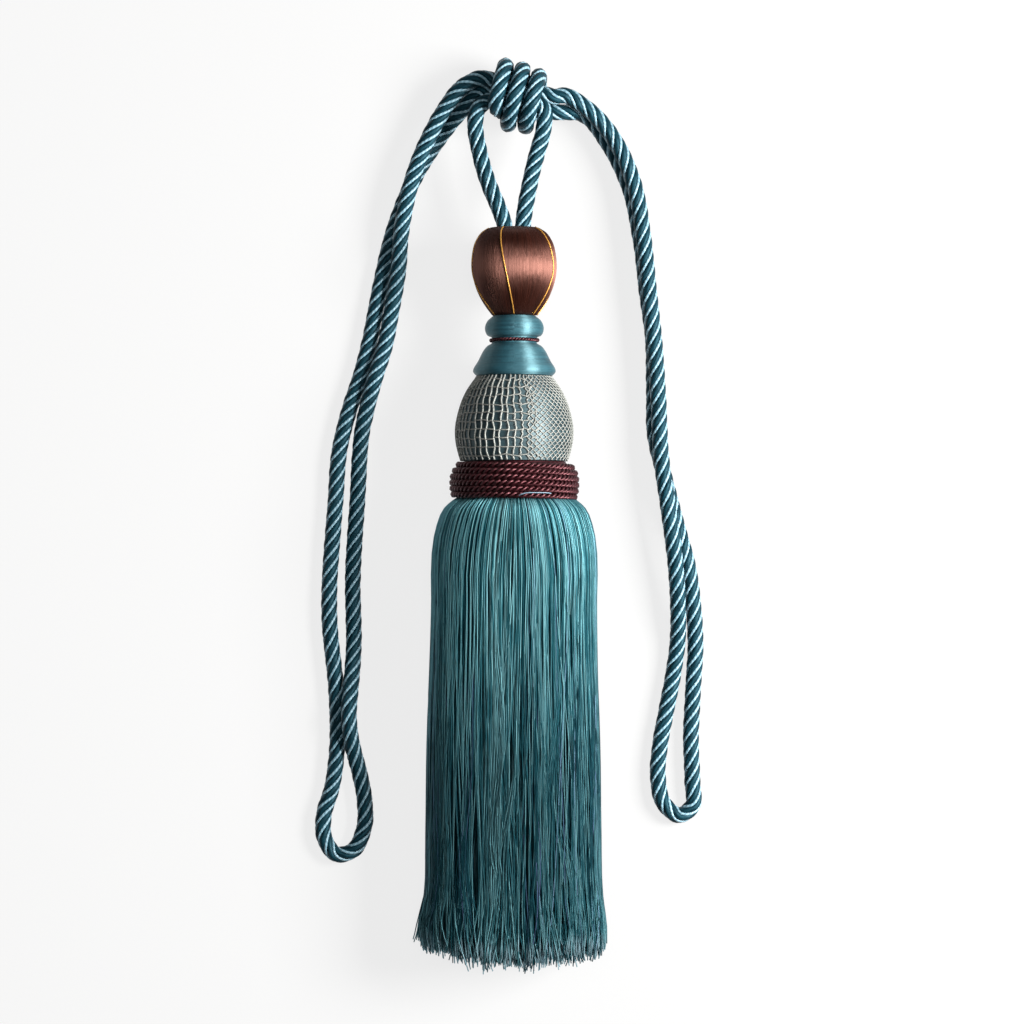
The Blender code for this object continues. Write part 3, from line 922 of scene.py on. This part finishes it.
# %% The net's yarn
net_yarn = Finish("metallic_net")
net_noise = cloudy(net_yarn, lay_map(net_yarn, 3.0, 1500.0), detail=2.0)
net_tone = spread(net_yarn, net_noise, 0.38, 0.62)
net_yarn.shade(
    Base_Color=mixed(net_yarn, net_tone, tint(0.15, 0.155, 0.145), tint(0.33, 0.34, 0.315)),
    Metallic=0.4,
    Roughness=0.5 + 0.2 * net_tone,
    Normal=raised(net_yarn, net_noise, 0.1 * MM),
)

# %% The net's lengthwise threads
NET_THREADS = 51
NET_LINKS = 10
NET_PITCH = WHOLE_TURN / NET_THREADS
NET_FROM, NET_TO = 16.4 * MM, 51.6 * MM
LINK_PITCH = (NET_TO - NET_FROM) / NET_LINKS
NET_ABOVE = -0.4 * MM
NET_RADIUS = 0.42 * MM
CLOSE_THINNER = 0.44
NET_DIAMOND = 2.5 * MM
NET_DRIFT = 26 * MM
NET_STOPS = 113
NET_ALONG = np.linspace(NET_FROM, NET_TO, NET_STOPS)


def egg_radius(along):
    """The egg's radius at a place along the head."""
    outline = profile(EGG_PROFILE, 0.5 * MM)
    return np.interp(along, outline[:, 0], outline[:, 1])


def drawn_close(turn):
    """How closely the net is drawn together at a turn: 0 on the left, 1 on the right."""
    return np.clip(np.sin(turn) * 2.1 + 0.1, 0.0, 1.0)


def net_turns(chance):
    """The turn of each lengthwise thread at each stop along it, and how closely each is drawn."""
    between = [k + 0.5 for k in range(NET_THREADS) if drawn_close((k + 0.5) * NET_PITCH) > 0.5]
    order = np.array(sorted([*range(NET_THREADS), *between]))
    close = drawn_close(order * NET_PITCH)[:, None]
    phase = chance.uniform(-0.9, 0.9, (len(order), 1))
    wave = 0.08 * np.sin(WHOLE_TURN * NET_ALONG / (2 * LINK_PITCH) + phase)
    drift = 0.16 * np.sin(WHOLE_TURN * NET_ALONG / NET_DRIFT + 2 * phase)
    side = np.where(np.round(2 * order) % 2, 1.0, -1.0)[:, None]
    zigzag = 0.25 * side * np.sin(WHOLE_TURN * NET_ALONG / NET_DIAMOND + 0.5 * phase) + 0.4 * drift
    return NET_PITCH * (order[:, None] + (1 - close) * (wave + drift) + close * zigzag), close


# %% The net's links
LINK_STOPS = 5
LINK_ABOVE = 0.1 * MM
LINK_RADIUS = 0.7 * NET_RADIUS


def net_links(chance, turns, close):
    """The links from each thread to the next one, where the net isn't drawn close."""
    links = []
    for i in np.flatnonzero(close[:, 0] < 0.9):
        slant = 0.08 + 0.4 * close[i, 0]
        after = (i + 1) % len(turns)
        for j in range(NET_LINKS):
            middle = NET_FROM + (j + 0.5 + chance.uniform(-0.14, 0.14)) * LINK_PITCH
            lift = LINK_PITCH * (slant * (1 if (i + j) % 2 else -1) + chance.uniform(-0.1, 0.1))
            along = np.clip(middle + lift * np.linspace(-0.5, 0.5, LINK_STOPS), NET_FROM, NET_TO)
            start = np.interp(along[0], NET_ALONG, turns[i])
            end = np.interp(along[-1], NET_ALONG, turns[after]) + (WHOLE_TURN if after == 0 else 0.0)
            radius = egg_radius(along) + NET_ABOVE + LINK_ABOVE
            links.append(head_points(np.linspace(start, end, LINK_STOPS), along, radius))
    return links


# %% The net
def egg_net():
    chance = np.random.default_rng(23)
    turns, close = net_turns(chance)
    net = Threads()
    threads = head_points(turns, NET_ALONG, egg_radius(NET_ALONG) + NET_ABOVE)
    net.lay(threads, NET_RADIUS * (1 - CLOSE_THINNER * close), sides=5, cuts=2)
    net.lay(net_links(chance, turns, close), LINK_RADIUS, sides=4)
    return net.piece("egg_net", [net_yarn])


finished(egg_net(), "netted_satin", on_head=True)

# %% [markdown]
# ### The corded band and the collar's thread
#
# The band is one fine burgundy cord of two strands, laid to the left and wound six times round the drum.
# Six closed rings would be easier, but a wound cord climbs from turn to turn. So it is modelled as it is
# made, one long spiral, with a ground of the same colour behind it so that no gap shows between its turns.
# The same cord, finer, sits in the collar's waist.

# %% Burgundy cord
burgundy = Finish("burgundy_cord")
burgundy_fine = cloudy(burgundy, lay_map(burgundy, 7.0, 700.0), detail=2.0)
burgundy_worn = cloudy(burgundy, burgundy.add("ShaderNodeTexCoord", {}, {}, output=3), scale=90.0)
burgundy_tone = spread(burgundy, 0.7 * burgundy_fine + 0.3 * burgundy_worn, 0.38, 0.66)
burgundy.shade(
    Base_Color=mixed(burgundy, burgundy_tone, tint(0.001, 0.0001, 0.0002), tint(0.017, 0.001, 0.0024)),
    Roughness=0.36 + 0.2 * burgundy_fine,
    IOR=1.5,
    Specular_Tint=tint(1.0, 0.4, 0.45),
    Specular_IOR_Level=0.75,
    Normal=raised(burgundy, burgundy_fine, 0.14 * MM),
)

# %% A cord of two strands
CORD_STRAND_AWAY = 0.62
CORD_STRAND_RADIUS = 0.5
CORD_PRESSED = 0.85


def two_strand_cord(name, line, radius, lead, sides=7, cuts=1):
    """A burgundy cord, laid to the left and pressed flat against what it is wound round."""
    strands = np.array([wound(line, CORD_STRAND_AWAY * radius, -lead, start) for start in (0.0, 0.5)])
    middle = np.linalg.norm(line[:, :2], axis=1)
    out = np.linalg.norm(strands[..., :2], axis=2)
    strands[..., :2] *= ((middle + CORD_PRESSED * (out - middle)) / out)[..., None]
    cord = Threads()
    cord.lay(strands, CORD_STRAND_RADIUS * radius, sides, cuts=cuts)
    return cord.piece(name, [burgundy])


# %% The band
BAND_PROFILE = ((0.0, 25.7), (5.3, 26.7), (10.7, 26.3), (16.0, 23.2))
BAND_TURNS, BAND_TURN_POINTS = 6, 180
BAND_CORD = 1.32 * MM
BAND_LEAD = 5.2 * MM
BAND_ABOVE = 0.55 * MM
BAND_FROM, BAND_TO = 0.8 * MM, 15.5 * MM
BAND_STARTS_AT = 2.6
BAND_END_TURNS = 0.06
BAND_END_DEPTH = 1.5 * MM


def band_line():
    """The spiral of the band's cord, with both ends drawn in under it."""
    outline = profile(BAND_PROFILE, 0.3 * MM)
    turns = np.linspace(0.0, BAND_TURNS, BAND_TURNS * BAND_TURN_POINTS)
    along = BAND_FROM + turns / BAND_TURNS * (BAND_TO - BAND_FROM)
    drawn_in = 1 - np.minimum(1.0, np.minimum(turns, BAND_TURNS - turns) / BAND_END_TURNS)
    radius = np.interp(along, outline[:, 0], outline[:, 1]) + BAND_ABOVE - BAND_CORD
    spiral = head_points(BAND_STARTS_AT - WHOLE_TURN * turns, along, radius - BAND_END_DEPTH * drawn_in)
    return even_line(spiral, 0.85 * MM)


finished(
    two_strand_cord("band_cord", band_line(), BAND_CORD, BAND_LEAD, cuts=12),
    "burgundy_cord", "band", on_head=True,
)
finished(
    wound_skin("band_ground", BAND_PROFILE, burgundy, 1.2 * MM, inset=1.9 * MM, seed=5),
    "burgundy_cord", on_head=True,
)

# %% The collar's thread
WAIST_ALONG = 66.7 * MM
WAIST_RING = 9.8 * MM
WAIST_CLIMB = 0.25 * MM
WAIST_STARTS_AT = 2.0
WAIST_CORD, WAIST_LEAD = 0.74 * MM, 2.8 * MM
WAIST_TURNS, WAIST_POINTS = 1.02, 190

waist_turns = np.linspace(0.0, WAIST_TURNS, WAIST_POINTS)
waist_along = WAIST_ALONG + WAIST_CLIMB * (waist_turns - 0.5)
waist_line = head_points(WAIST_STARTS_AT + WHOLE_TURN * waist_turns, waist_along, WAIST_RING)
finished(
    two_strand_cord("waist_cord", waist_line, WAIST_CORD, WAIST_LEAD, sides=6),
    "burgundy_cord", "waist_thread", on_head=True,
)

# %% [markdown]
# One small stitch of pale thread lies over the band's lowest turn, a little right of the middle, and holds
# the cord down. It is one tube along a short line.

# %% The stitch's finish
stitch_finish = Finish("pale_stitch")
stitch_tone = cloudy(stitch_finish, lay_map(stitch_finish, 4.0, 1800.0))
stitch_finish.shade(
    Base_Color=mixed(stitch_finish, stitch_tone, tint(0.08, 0.14, 0.2), tint(0.2, 0.28, 0.34)),
    Roughness=0.45,
    Normal=raised(stitch_finish, stitch_tone, 0.06 * MM),
)

# %% The stitch
# Degrees round the head, and millimetres along it and away from its axis.
STITCH = (
    (4.0, 1.6, 26.6), (6.0, 2.1, 27.3), (10.5, 2.6, 27.6), (20.0, 2.7, 27.7), (30.0, 2.65, 27.6),
    (34.0, 2.4, 27.0),
)
STITCH_RADIUS = 0.22 * MM

stitch_turn, stitch_along, stitch_out = np.array(STITCH).T
stitch_line = head_points(np.radians(stitch_turn), stitch_along * MM, stitch_out * MM)
stitch = Threads()
stitch.lay(even_line(smooth_line(stitch_line, 8), 0.4 * MM)[None], STITCH_RADIUS, sides=6)
finished(stitch.piece("band_stitch", [stitch_finish]), "burgundy_cord", on_head=True)

# %% [markdown]
# ## The skirt
#
# The skirt is some thousands of cut rayon threads. On the real one they leave the band evenly, bulge over
# its edge and hang together in thin locks with dark gaps between them. Towards the hem the locks loosen,
# cross and end raggedly. A hair system could draw as many, but not lay them so exactly, and its strands
# wouldn't be exported. So threads are laid in layers on the flattened form the skirt has as it lies: locks
# outside, loose threads behind their gaps, cut ends inside the hem, and a dark heart where no light gets.

# %% The form the skirt lies in
SKIRT_MIDDLE = 1.0 * MM
SKIRT_START = HEAD_FOOT.y - 0.3 * MM
HEM_DOWN = 192.0 * MM
ROUND_UNTIL = 30.0 * MM
BOXINESS = 0.35
CORNER_LIFTS = (6.5 * MM, 4.5 * MM)
LIFT_SHARPNESS = 8
SKIRT_LEANS = 0.6 * MM
LEANS_UNTIL = 80.0 * MM

# Millimetres below the band, half width, height of the top, and how far the form sinks below the floor.
SKIRT_SLICES = (
    (-1.6, 23.6, 51.5, -4.4), (0.0, 26.0, 53.9, -2.0), (3.0, 29.4, 55.1, 0.2), (13.0, 33.3, 54.4, 2.6),
    (22.0, 34.6, 53.0, 3.4), (43.0, 34.7, 50.6, 4.0), (68.0, 35.2, 49.0, 4.2), (102.0, 36.3, 47.4, 4.2),
    (140.0, 36.8, 45.4, 4.0), (166.0, 37.4, 43.6, 3.8), (180.0, 38.8, 42.0, 3.5), (191.0, 38.4, 40.0, 3.2),
    (200.0, 38.0, 38.5, 3.0),
)
slices = smooth_line(np.array(SKIRT_SLICES) * MM, 6)


def boxed(turn, down):
    """The two sides of a unit ring at a turn: round by the band, and a little boxed further down."""
    power = 2 / (2 + BOXINESS * np.clip(down / ROUND_UNTIL, 0.0, 1.0))
    across, up = np.cos(turn), np.sin(turn)
    return np.copysign(abs(across) ** power, across), np.copysign(abs(up) ** power, up)


# %% Places in the skirt
RING_HALF_WIDTH = 36.0 * MM
RING_HALF_HEIGHT = 26.0 * MM

# The lengths along a ring at the skirt's middle give the turns at which threads lie equally close.
RING_POINTS = 1441
ring_turns = np.linspace(0.0, WHOLE_TURN, RING_POINTS)
ring_across, ring_up = boxed(ring_turns, ROUND_UNTIL)
ring_runs = run_lengths(np.stack([RING_HALF_WIDTH * ring_across, RING_HALF_HEIGHT * ring_up], axis=1))
SKIRT_ROUND = ring_runs[-1]
print("round the skirt in mm:", round(SKIRT_ROUND / MM, 1))


def skirt_place(around, down, depth, shrink=1.0, lowest=0.3 * MM):
    """Points in the skirt: metres round it, metres below the band and metres under its surface."""
    turn = np.interp(around % SKIRT_ROUND, ring_runs, ring_turns)
    half_width, top, sink = (np.interp(down, slices[:, 0], slices[:, k]) for k in (1, 2, 3))
    half_height = (top + sink) / 2
    across, up = boxed(turn, down)
    x = (half_width - depth) * shrink * across
    z = top - half_height + (half_height - depth) * shrink * up
    hem_share = np.clip(down / HEM_DOWN, 0.0, 1.1) ** LIFT_SHARPNESS
    lift = np.where(x < 0, *CORNER_LIFTS) * hem_share * (x / half_width) ** 2
    middle = SKIRT_MIDDLE + SKIRT_LEANS * (1.0 - np.clip(down / LEANS_UNTIL, 0.0, 1.0))
    return np.stack([middle + x, SKIRT_START - down + lift, np.maximum(z, lowest)], axis=-1)


# %% [markdown]
# Rayon shines, and every thread takes its own shade of teal. A lock's threads were dyed and handled
# together, so a number for the lock counts for more than the thread's own. Threads that lie deeper are
# painted darker, and so is all of the lower half but its end: this is painted shade, and the lighter end is
# painted light. The cut tips carry a painted highlight. One thread in a hundred is a little violet.

# %% Teal rayon
rayon = Finish("teal_rayon")
rayon_streaks = cloudy(rayon, lay_map(rayon, 2.0, 70.0, 90.0 * mark(rayon, "chance")), detail=2.0)
rayon_tone = (
    0.66 * mark(rayon, "lock") + 0.1 * mark(rayon, "chance") + 0.24 * spread(rayon, rayon_streaks, 0.3, 0.7)
)
rayon_colour = rayon.add("ShaderNodeValToRGB", {"stops": (
    (0.26, tint(0.0008, 0.012, 0.018)), (0.5, tint(0.012, 0.078, 0.097)), (0.74, tint(0.15, 0.345, 0.38)),
)}, {0: rayon_tone})
_, rayon_run = x_and_y(rayon, lay_map(rayon, 1.0, 1.0))
# Painted shade down the thread and on deeper threads, with a little painted light at the end.
rayon_painted_falloff = 0.6 * spread(rayon, rayon_run, 0.02, 0.12) - 0.2 * spread(rayon, rayon_run, 0.15, 0.19)
rayon_painted_brightness = (1.0 - rayon_painted_falloff) * (1.0 - 0.6 * mark(rayon, "depth"))
rayon_with_painted_shade = mixed(rayon, rayon_painted_brightness, tint(0.002, 0.012, 0.018), rayon_colour)
rayon_rare = spread(rayon, mark(rayon, "chance"), 0.985, 0.99)
rayon_mixed = mixed(rayon, 0.4 * rayon_rare, rayon_with_painted_shade, tint(0.1, 0.12, 0.25))
rayon.shade(
    # The pale tips are a painted highlight.
    Base_Color=mixed(rayon, mark(rayon, "tip"), rayon_mixed, tint(0.36, 0.53, 0.6)),
    Metallic=0.45,
    Roughness=0.36 + 0.2 * rayon_streaks,
    Specular_IOR_Level=0.25,
    Specular_Tint=tint(0.2, 0.7, 0.85),
    Normal=raised(rayon, rayon_streaks, 0.1 * MM),
)

# %% [markdown]
# ### How a thread hangs
#
# No thread hangs quite straight: it wanders a little, most at the hem, where some also lean aside. A sum of
# three slow waves draws that. All threads have the same stops down to the last part of the skirt, and from
# there on the stops are stretched, so that each thread ends at a length of its own.

# %% How a thread hangs
THREAD_RADIUS = 0.27 * MM
THREAD_SIDES = 3
LOOSE_FROM = 150.0 * MM
HEM_LOOSE_FROM = 163.0 * MM
DOWN_STOPS = np.array((
    -1.6, 0.0, 1.5, 3.2, 6, 10, 15, 22, *range(31, 150, 10), 150, 159, 167, 175, 182, 187, 191,
)) * MM
skirt_chance = np.random.default_rng(41)


def stretched(stops, lengths):
    """How far down the points of each thread are, with the hem's part stretched to the thread's length."""
    share = (lengths[:, None] - LOOSE_FROM) / (HEM_DOWN - LOOSE_FROM)
    return np.where(stops > LOOSE_FROM, LOOSE_FROM + (stops - LOOSE_FROM) * share, stops)


def wander(count, down, reach):
    """A soft random path for each of many threads, still at the band and loosest at the hem."""
    path = np.zeros((count, down.shape[-1]))
    for _ in range(3):
        waves = skirt_chance.uniform(0.3, 2.4, (count, 1)) * down / HEM_DOWN
        waves = waves + skirt_chance.random((count, 1))
        path += skirt_chance.uniform(0.3, 0.7, (count, 1)) * np.sin(WHOLE_TURN * waves)
    return reach * path * (np.clip(down, 0.0, None) / HEM_DOWN) ** 1.1


def splayed(count, down, reach):
    """How far each thread leans aside in the hem, where nothing holds it."""
    loose = np.clip((down - HEM_LOOSE_FROM) / (HEM_DOWN - HEM_LOOSE_FROM), 0.0, 1.3) ** 1.7
    return skirt_chance.normal(0.0, reach, (count, 1)) * loose


def painted_tip_highlights(count):
    """How strong each thread's painted highlight is at its points: only near the cut end, and not every
    thread.
    """
    highlight_share = np.zeros((count, len(DOWN_STOPS)))
    highlight_share[:, -2:] = skirt_chance.uniform(-0.3, 1.0, (count, 1)).clip(0.0) * [0.5, 1.0]
    return highlight_share


# %% [markdown]
# ### The locks
#
# A lock is thirteen threads: seven side by side over its rounded front, and six behind them. They wander
# together as one lock and a little each on its own. Where a lock sways away from its neighbour a gap opens,
# and where it sways towards it, the two cross. Neighbouring locks get a similar tone, so that bunches show.

# %% The locks
LOCKS = 92
LOCK_THREADS = 13
LOCK_ACROSS = np.array((-0.74, -0.5, -0.25, 0.0, 0.25, 0.5, 0.74, -0.62, -0.3, 0.02, 0.33, 0.6, 0.05)) * MM
LOCK_DEPTHS = np.array((0.62, 0.34, 0.12, 0.0, 0.1, 0.36, 0.6, 0.95, 0.7, 0.52, 0.72, 0.98, 1.15)) * MM
LOCK_SWAY, LOCK_DEPTH_SWAY, LOCK_SPLAY = 4.4 * MM, 1.3 * MM, 1.8 * MM
OWN_SWAY, OWN_DEPTH_SWAY, OWN_SPLAY = 2.4 * MM, 0.3 * MM, 1.2 * MM
RELIEF_UNTIL = 90.0 * MM
RELIEF_START = 0.45


def over_threads(per_lock):
    """A number of each lock, given to each of its threads."""
    return np.repeat(per_lock, LOCK_THREADS, axis=0)


def in_bunches(tones):
    """Tones of the locks from 0.18 to 1, made like their neighbours' so that bunches of locks show."""
    near = enumerate((0.5, 0.75, 0.35))
    alike = sum(share * (np.roll(tones, k) + np.roll(tones, -k)) for k, share in near)
    return np.clip(0.5 + 0.34 * (alike - alike.mean()) / alike.std(), 0.18, 1.0)


def skirt_locks():
    """The lines of all locks' threads, and their marks."""
    count = LOCKS * LOCK_THREADS
    middles = (np.arange(LOCKS) + skirt_chance.uniform(-0.2, 0.2, LOCKS)) * SKIRT_ROUND / LOCKS
    lock_ends = HEM_DOWN + skirt_chance.uniform(-2.6, 2.8, LOCKS) * MM
    lengths = over_threads(lock_ends) + skirt_chance.normal(0.0, 1.8, count) * MM
    down = stretched(DOWN_STOPS, lengths)
    lock_path = wander(LOCKS, DOWN_STOPS[None], LOCK_SWAY)
    lock_depth = wander(LOCKS, DOWN_STOPS[None], LOCK_DEPTH_SWAY)
    width = over_threads(skirt_chance.uniform(0.85, 1.4, (LOCKS, 1)))
    loosening = 1.0 + 0.5 * np.clip(down / HEM_DOWN, 0.0, 1.2) ** 2
    across = np.tile(LOCK_ACROSS, LOCKS)[:, None] * width * loosening
    own_path = wander(count, down, OWN_SWAY) + splayed(count, down, OWN_SPLAY)
    lock_path = middles[:, None] + lock_path + splayed(LOCKS, DOWN_STOPS[None], LOCK_SPLAY)
    relief = RELIEF_START + (1 - RELIEF_START) * np.clip(down / RELIEF_UNTIL, 0.0, 1.0)
    depth = np.tile(LOCK_DEPTHS, LOCKS)[:, None] * relief + over_threads(lock_depth) + THREAD_RADIUS
    depth = np.maximum(depth + wander(count, down, OWN_DEPTH_SWAY), 0.0)
    return skirt_place(over_threads(lock_path) + across + own_path, down, depth), dict(
        chance=skirt_chance.random(count),
        lock=over_threads(in_bunches(skirt_chance.random(LOCKS))),
        # The depth mark paints deeper threads darker in the finish: painted shade.
        depth=np.tile(LOCK_DEPTHS / LOCK_DEPTHS.max(), LOCKS)[:, None] * 0.6 * relief,
        tip=painted_tip_highlights(count),
    )


def skirt_piece(name, *layers, radius=THREAD_RADIUS):
    """One piece of the skirt, from layers of lines and their marks."""
    threads = Threads()
    for lines, marks in layers:
        threads.lay(lines, radius, THREAD_SIDES, rows=4, **marks)
    return threads.piece(name, [rayon])


finished(skirt_piece("skirt_locks", skirt_locks()), "teal_rayon", "skirt")

# %% [markdown]
# ### Behind the gaps, and astray
#
# Through the gaps one sees more threads, loose ones in the locks' shadow. Others stray over the locks'
# fronts and cross them. Some of those are set at the hem's left corner, where they stick out of the outline.

# %% The threads behind the gaps
BEHIND = 960
BEHIND_SWAY = 1.2 * MM


def skirt_behind():
    """The loose threads behind the locks, and their marks."""
    around = (np.arange(BEHIND) + skirt_chance.uniform(-0.4, 0.4, BEHIND)) * SKIRT_ROUND / BEHIND
    down = stretched(DOWN_STOPS, HEM_DOWN + skirt_chance.normal(-0.8, 1.9, BEHIND) * MM)
    depth = skirt_chance.uniform(1.5, 2.5, (BEHIND, 1)) * MM + wander(BEHIND, down, OWN_DEPTH_SWAY)
    return skirt_place(around[:, None] + wander(BEHIND, down, BEHIND_SWAY), down, depth), dict(
        chance=skirt_chance.random(BEHIND),
        lock=skirt_chance.uniform(0.1, 0.7, BEHIND),
        # A depth mark of 1 paints these threads darkest: painted shade for the locks' shadow.
        depth=np.ones(BEHIND),
        tip=painted_tip_highlights(BEHIND),
    )


# %% The threads that stray
STRAYS, CORNER_STRAYS = 260, 24
STRAY_DRIFT, STRAY_SWAY, STRAY_SPLAY = 7.0 * MM, 1.2 * MM, 2.0 * MM
STRAY_DEPTH, STRAY_OFF, CORNER_FURTHER = 0.12 * MM, 0.5 * MM, 4.0


def skirt_strays():
    """Single threads on top of the locks, which cross some of them and stand off the hem."""
    around = skirt_chance.uniform(0.0, 0.5, STRAYS) * SKIRT_ROUND
    around[:CORNER_STRAYS] = skirt_chance.uniform(0.44, 0.52, CORNER_STRAYS) * SKIRT_ROUND
    down = stretched(DOWN_STOPS, HEM_DOWN + skirt_chance.normal(0.3, 1.8, STRAYS) * MM)
    drift = STRAY_DRIFT * skirt_chance.normal(0.0, 1.0, (STRAYS, 1))
    path = around[:, None] + drift * (np.clip(down, 0.0, None) / HEM_DOWN) ** 1.4
    path = path + wander(STRAYS, down, STRAY_SWAY) + splayed(STRAYS, down, STRAY_SPLAY)
    stand_off = abs(splayed(STRAYS, down, STRAY_OFF))
    stand_off[:CORNER_STRAYS] *= CORNER_FURTHER
    return skirt_place(path, down, STRAY_DEPTH - stand_off), dict(
        chance=skirt_chance.uniform(0.4, 1.0, STRAYS),
        lock=skirt_chance.uniform(0.4, 0.9, STRAYS),
        depth=np.zeros(STRAYS),
        tip=painted_tip_highlights(STRAYS),
    )


loose_threads = skirt_piece("skirt_threads", skirt_behind(), skirt_strays(), radius=0.95 * THREAD_RADIUS)
finished(loose_threads, "teal_rayon")

# %% [markdown]
# ### The hem from below
#
# Seen from its hem the skirt is full of cut ends. Whole threads in there would cost many triangles for
# nothing, so only their last few centimetres are made.

# %% The cut ends inside the hem
HEM_ENDS = 1400
HEM_STOPS = 6
HEM_ENDS_FROM = LOOSE_FROM + 4 * MM
HEM_ENDS_DEPTH = 1.8 * MM
HEM_ENDS_SWAY = 1.3 * MM


def hem_ends():
    """Short threads all over the hem's cut face, with a painted highlight on their tips, and their marks."""
    around = skirt_chance.random(HEM_ENDS) * SKIRT_ROUND
    shrink = np.sqrt(skirt_chance.uniform(0.01, 0.95, HEM_ENDS))[:, None]
    lengths = HEM_DOWN + skirt_chance.normal(-1.0, 1.8, HEM_ENDS) * MM
    share = np.linspace(0.0, 1.0, HEM_STOPS)
    down = HEM_ENDS_FROM + (lengths[:, None] - HEM_ENDS_FROM) * share
    sway = HEM_ENDS_SWAY * skirt_chance.normal(0.0, 1.0, (HEM_ENDS, 1)) * share**2
    return skirt_place(around[:, None] + sway, down, HEM_ENDS_DEPTH, shrink), dict(
        chance=skirt_chance.random(HEM_ENDS),
        lock=skirt_chance.uniform(0.2, 0.9, HEM_ENDS),
        # A depth mark of 0.7 paints the cut ends darker: painted shade.
        depth=np.full(HEM_ENDS, 0.7),
        tip=np.tile((share >= 1.0).astype(float), (HEM_ENDS, 1)),
    )


finished(skirt_piece("hem_ends", hem_ends()), "teal_rayon")

# %% [markdown]
# ### The dark heart
#
# However many threads there are, light would find a way between them. So a core fills the skirt behind
# them, from the band down to two centimetres above the hem, and its dark colour is painted shade.

# %% The dark heart's finish
# The core's dark teal is painted shade for the inside of the skirt.
heart = Finish("painted_shade_core")
heart_streaks = cloudy(heart, lay_map(heart, 420.0, 30.0), detail=2.0)
heart.shade(
    Base_Color=mixed(heart, heart_streaks, tint(0.002, 0.012, 0.018), tint(0.012, 0.05, 0.065)),
    Roughness=0.6,
    Normal=raised(heart, heart_streaks, 0.3 * MM),
)

# %% The dark heart
HEART_DEPTH = 2.9 * MM
HEART_END = 172.0 * MM
HEART_ROWS, HEART_COLUMNS = 34, 96
HEART_COMB = 0.35 * MM


def skirt_heart():
    """The core, dark with painted shade, a little uneven from column to column."""
    down, around = np.meshgrid(
        np.linspace(0.0, HEART_END, HEART_ROWS),
        np.linspace(0.0, SKIRT_ROUND, HEART_COLUMNS + 1)[:-1], indexing="ij",
    )
    comb = HEART_COMB * np.sin(2.9 * np.arange(HEART_COLUMNS))
    rings = skirt_place(around, down, HEART_DEPTH + comb, lowest=0.9 * MM)
    return closed_skin("skirt_heart", rings, heart)


finished(skirt_heart(), "teal_rayon")
